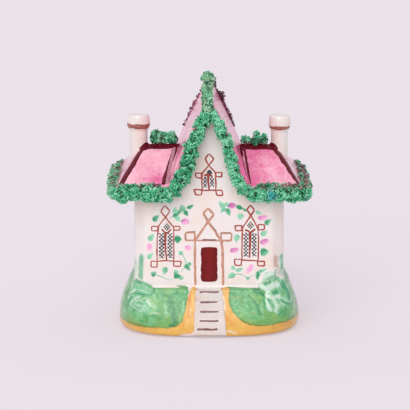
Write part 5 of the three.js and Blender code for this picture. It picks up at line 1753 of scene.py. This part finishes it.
make_roof_lines()
make_painting()


# The studio.
def make_floor():
    """A wide sheet of paper, which glows a little for the camera as a lit backdrop does."""
    mesh = bpy.data.meshes.new("studio_floor")
    wide, near, far, drop = 4.0, -4.0, 6.0, -0.0006
    corners = [(-wide, near), (wide, near), (wide, far), (-wide, far)]
    mesh.from_pydata([(x, y, z) for z in (drop, drop - 0.02) for x, y in corners], [],
                     [(0, 1, 2, 3), (7, 6, 5, 4), (0, 4, 5, 1), (1, 5, 6, 2), (2, 6, 7, 3), (3, 7, 4, 0)])
    shop = Shop("floor_paper")
    paper = shop.node("BsdfPrincipled", {}, {
        "Base Color": srgb(238, 231, 238), "Roughness": 0.9, "Specular IOR Level": 0.1})
    glow = shop.node("Emission", {}, {"Color": srgb(235, 227, 235)})
    seen = shop.node("LightPath", output="Is Camera Ray") * 0.5
    shop.node("OutputMaterial", {}, {"Surface": shop.node("MixShader", {}, {0: seen, 1: paper, 2: glow})})
    mesh.materials.append(shop.owner)
    add_object("studio_floor", mesh)


SUN_PLACE = Vector((-0.22, -0.84, 0.67))
SUN_AIM = Vector((0, 0, 0.05))
SUN_SPREAD = 55  # degrees across, for soft shadows


def make_sun():
    light = bpy.data.lights.new("key_sun", "SUN")
    light.energy = 1.5
    light.color = srgb(255, 250, 247)
    light.angle = math.radians(SUN_SPREAD)
    lamp = add_object("key_sun", light)
    lamp.location = SUN_PLACE
    lamp.rotation_euler = (SUN_AIM - SUN_PLACE).to_track_quat("-Z", "Y").to_euler()


def make_world():
    """Even light from all round, and a paler backdrop where the camera looks past the floor."""
    air = Shop("studio_air", bpy.data.worlds)
    fill = air.node("Background", {}, {"Color": srgb(250, 246, 250), "Strength": 0.72})
    seen = air.node("Background", {}, {"Color": srgb(236, 229, 237)})
    ray = air.node("LightPath", output="Is Camera Ray")
    air.node("OutputWorld", {}, {"Surface": air.node("MixShader", {}, {0: ray, 1: fill, 2: seen})})
    bpy.context.scene.world = air.owner


CAMERA_DOWN = 12  # degrees below the horizontal


def make_camera():
    camera = bpy.data.cameras.new("camera")
    camera.sensor_width = 36
    camera.lens = 180.3
    eye = add_object("camera", camera)
    eye.location = (-0.0019, -0.9793, 0.2646)
    eye.rotation_euler = (math.radians(90 - CAMERA_DOWN), 0, 0)
    bpy.context.scene.camera = eye


make_floor()
make_sun()
make_world()
make_camera()

scene = bpy.context.scene
scene.view_settings.view_transform = "Standard"
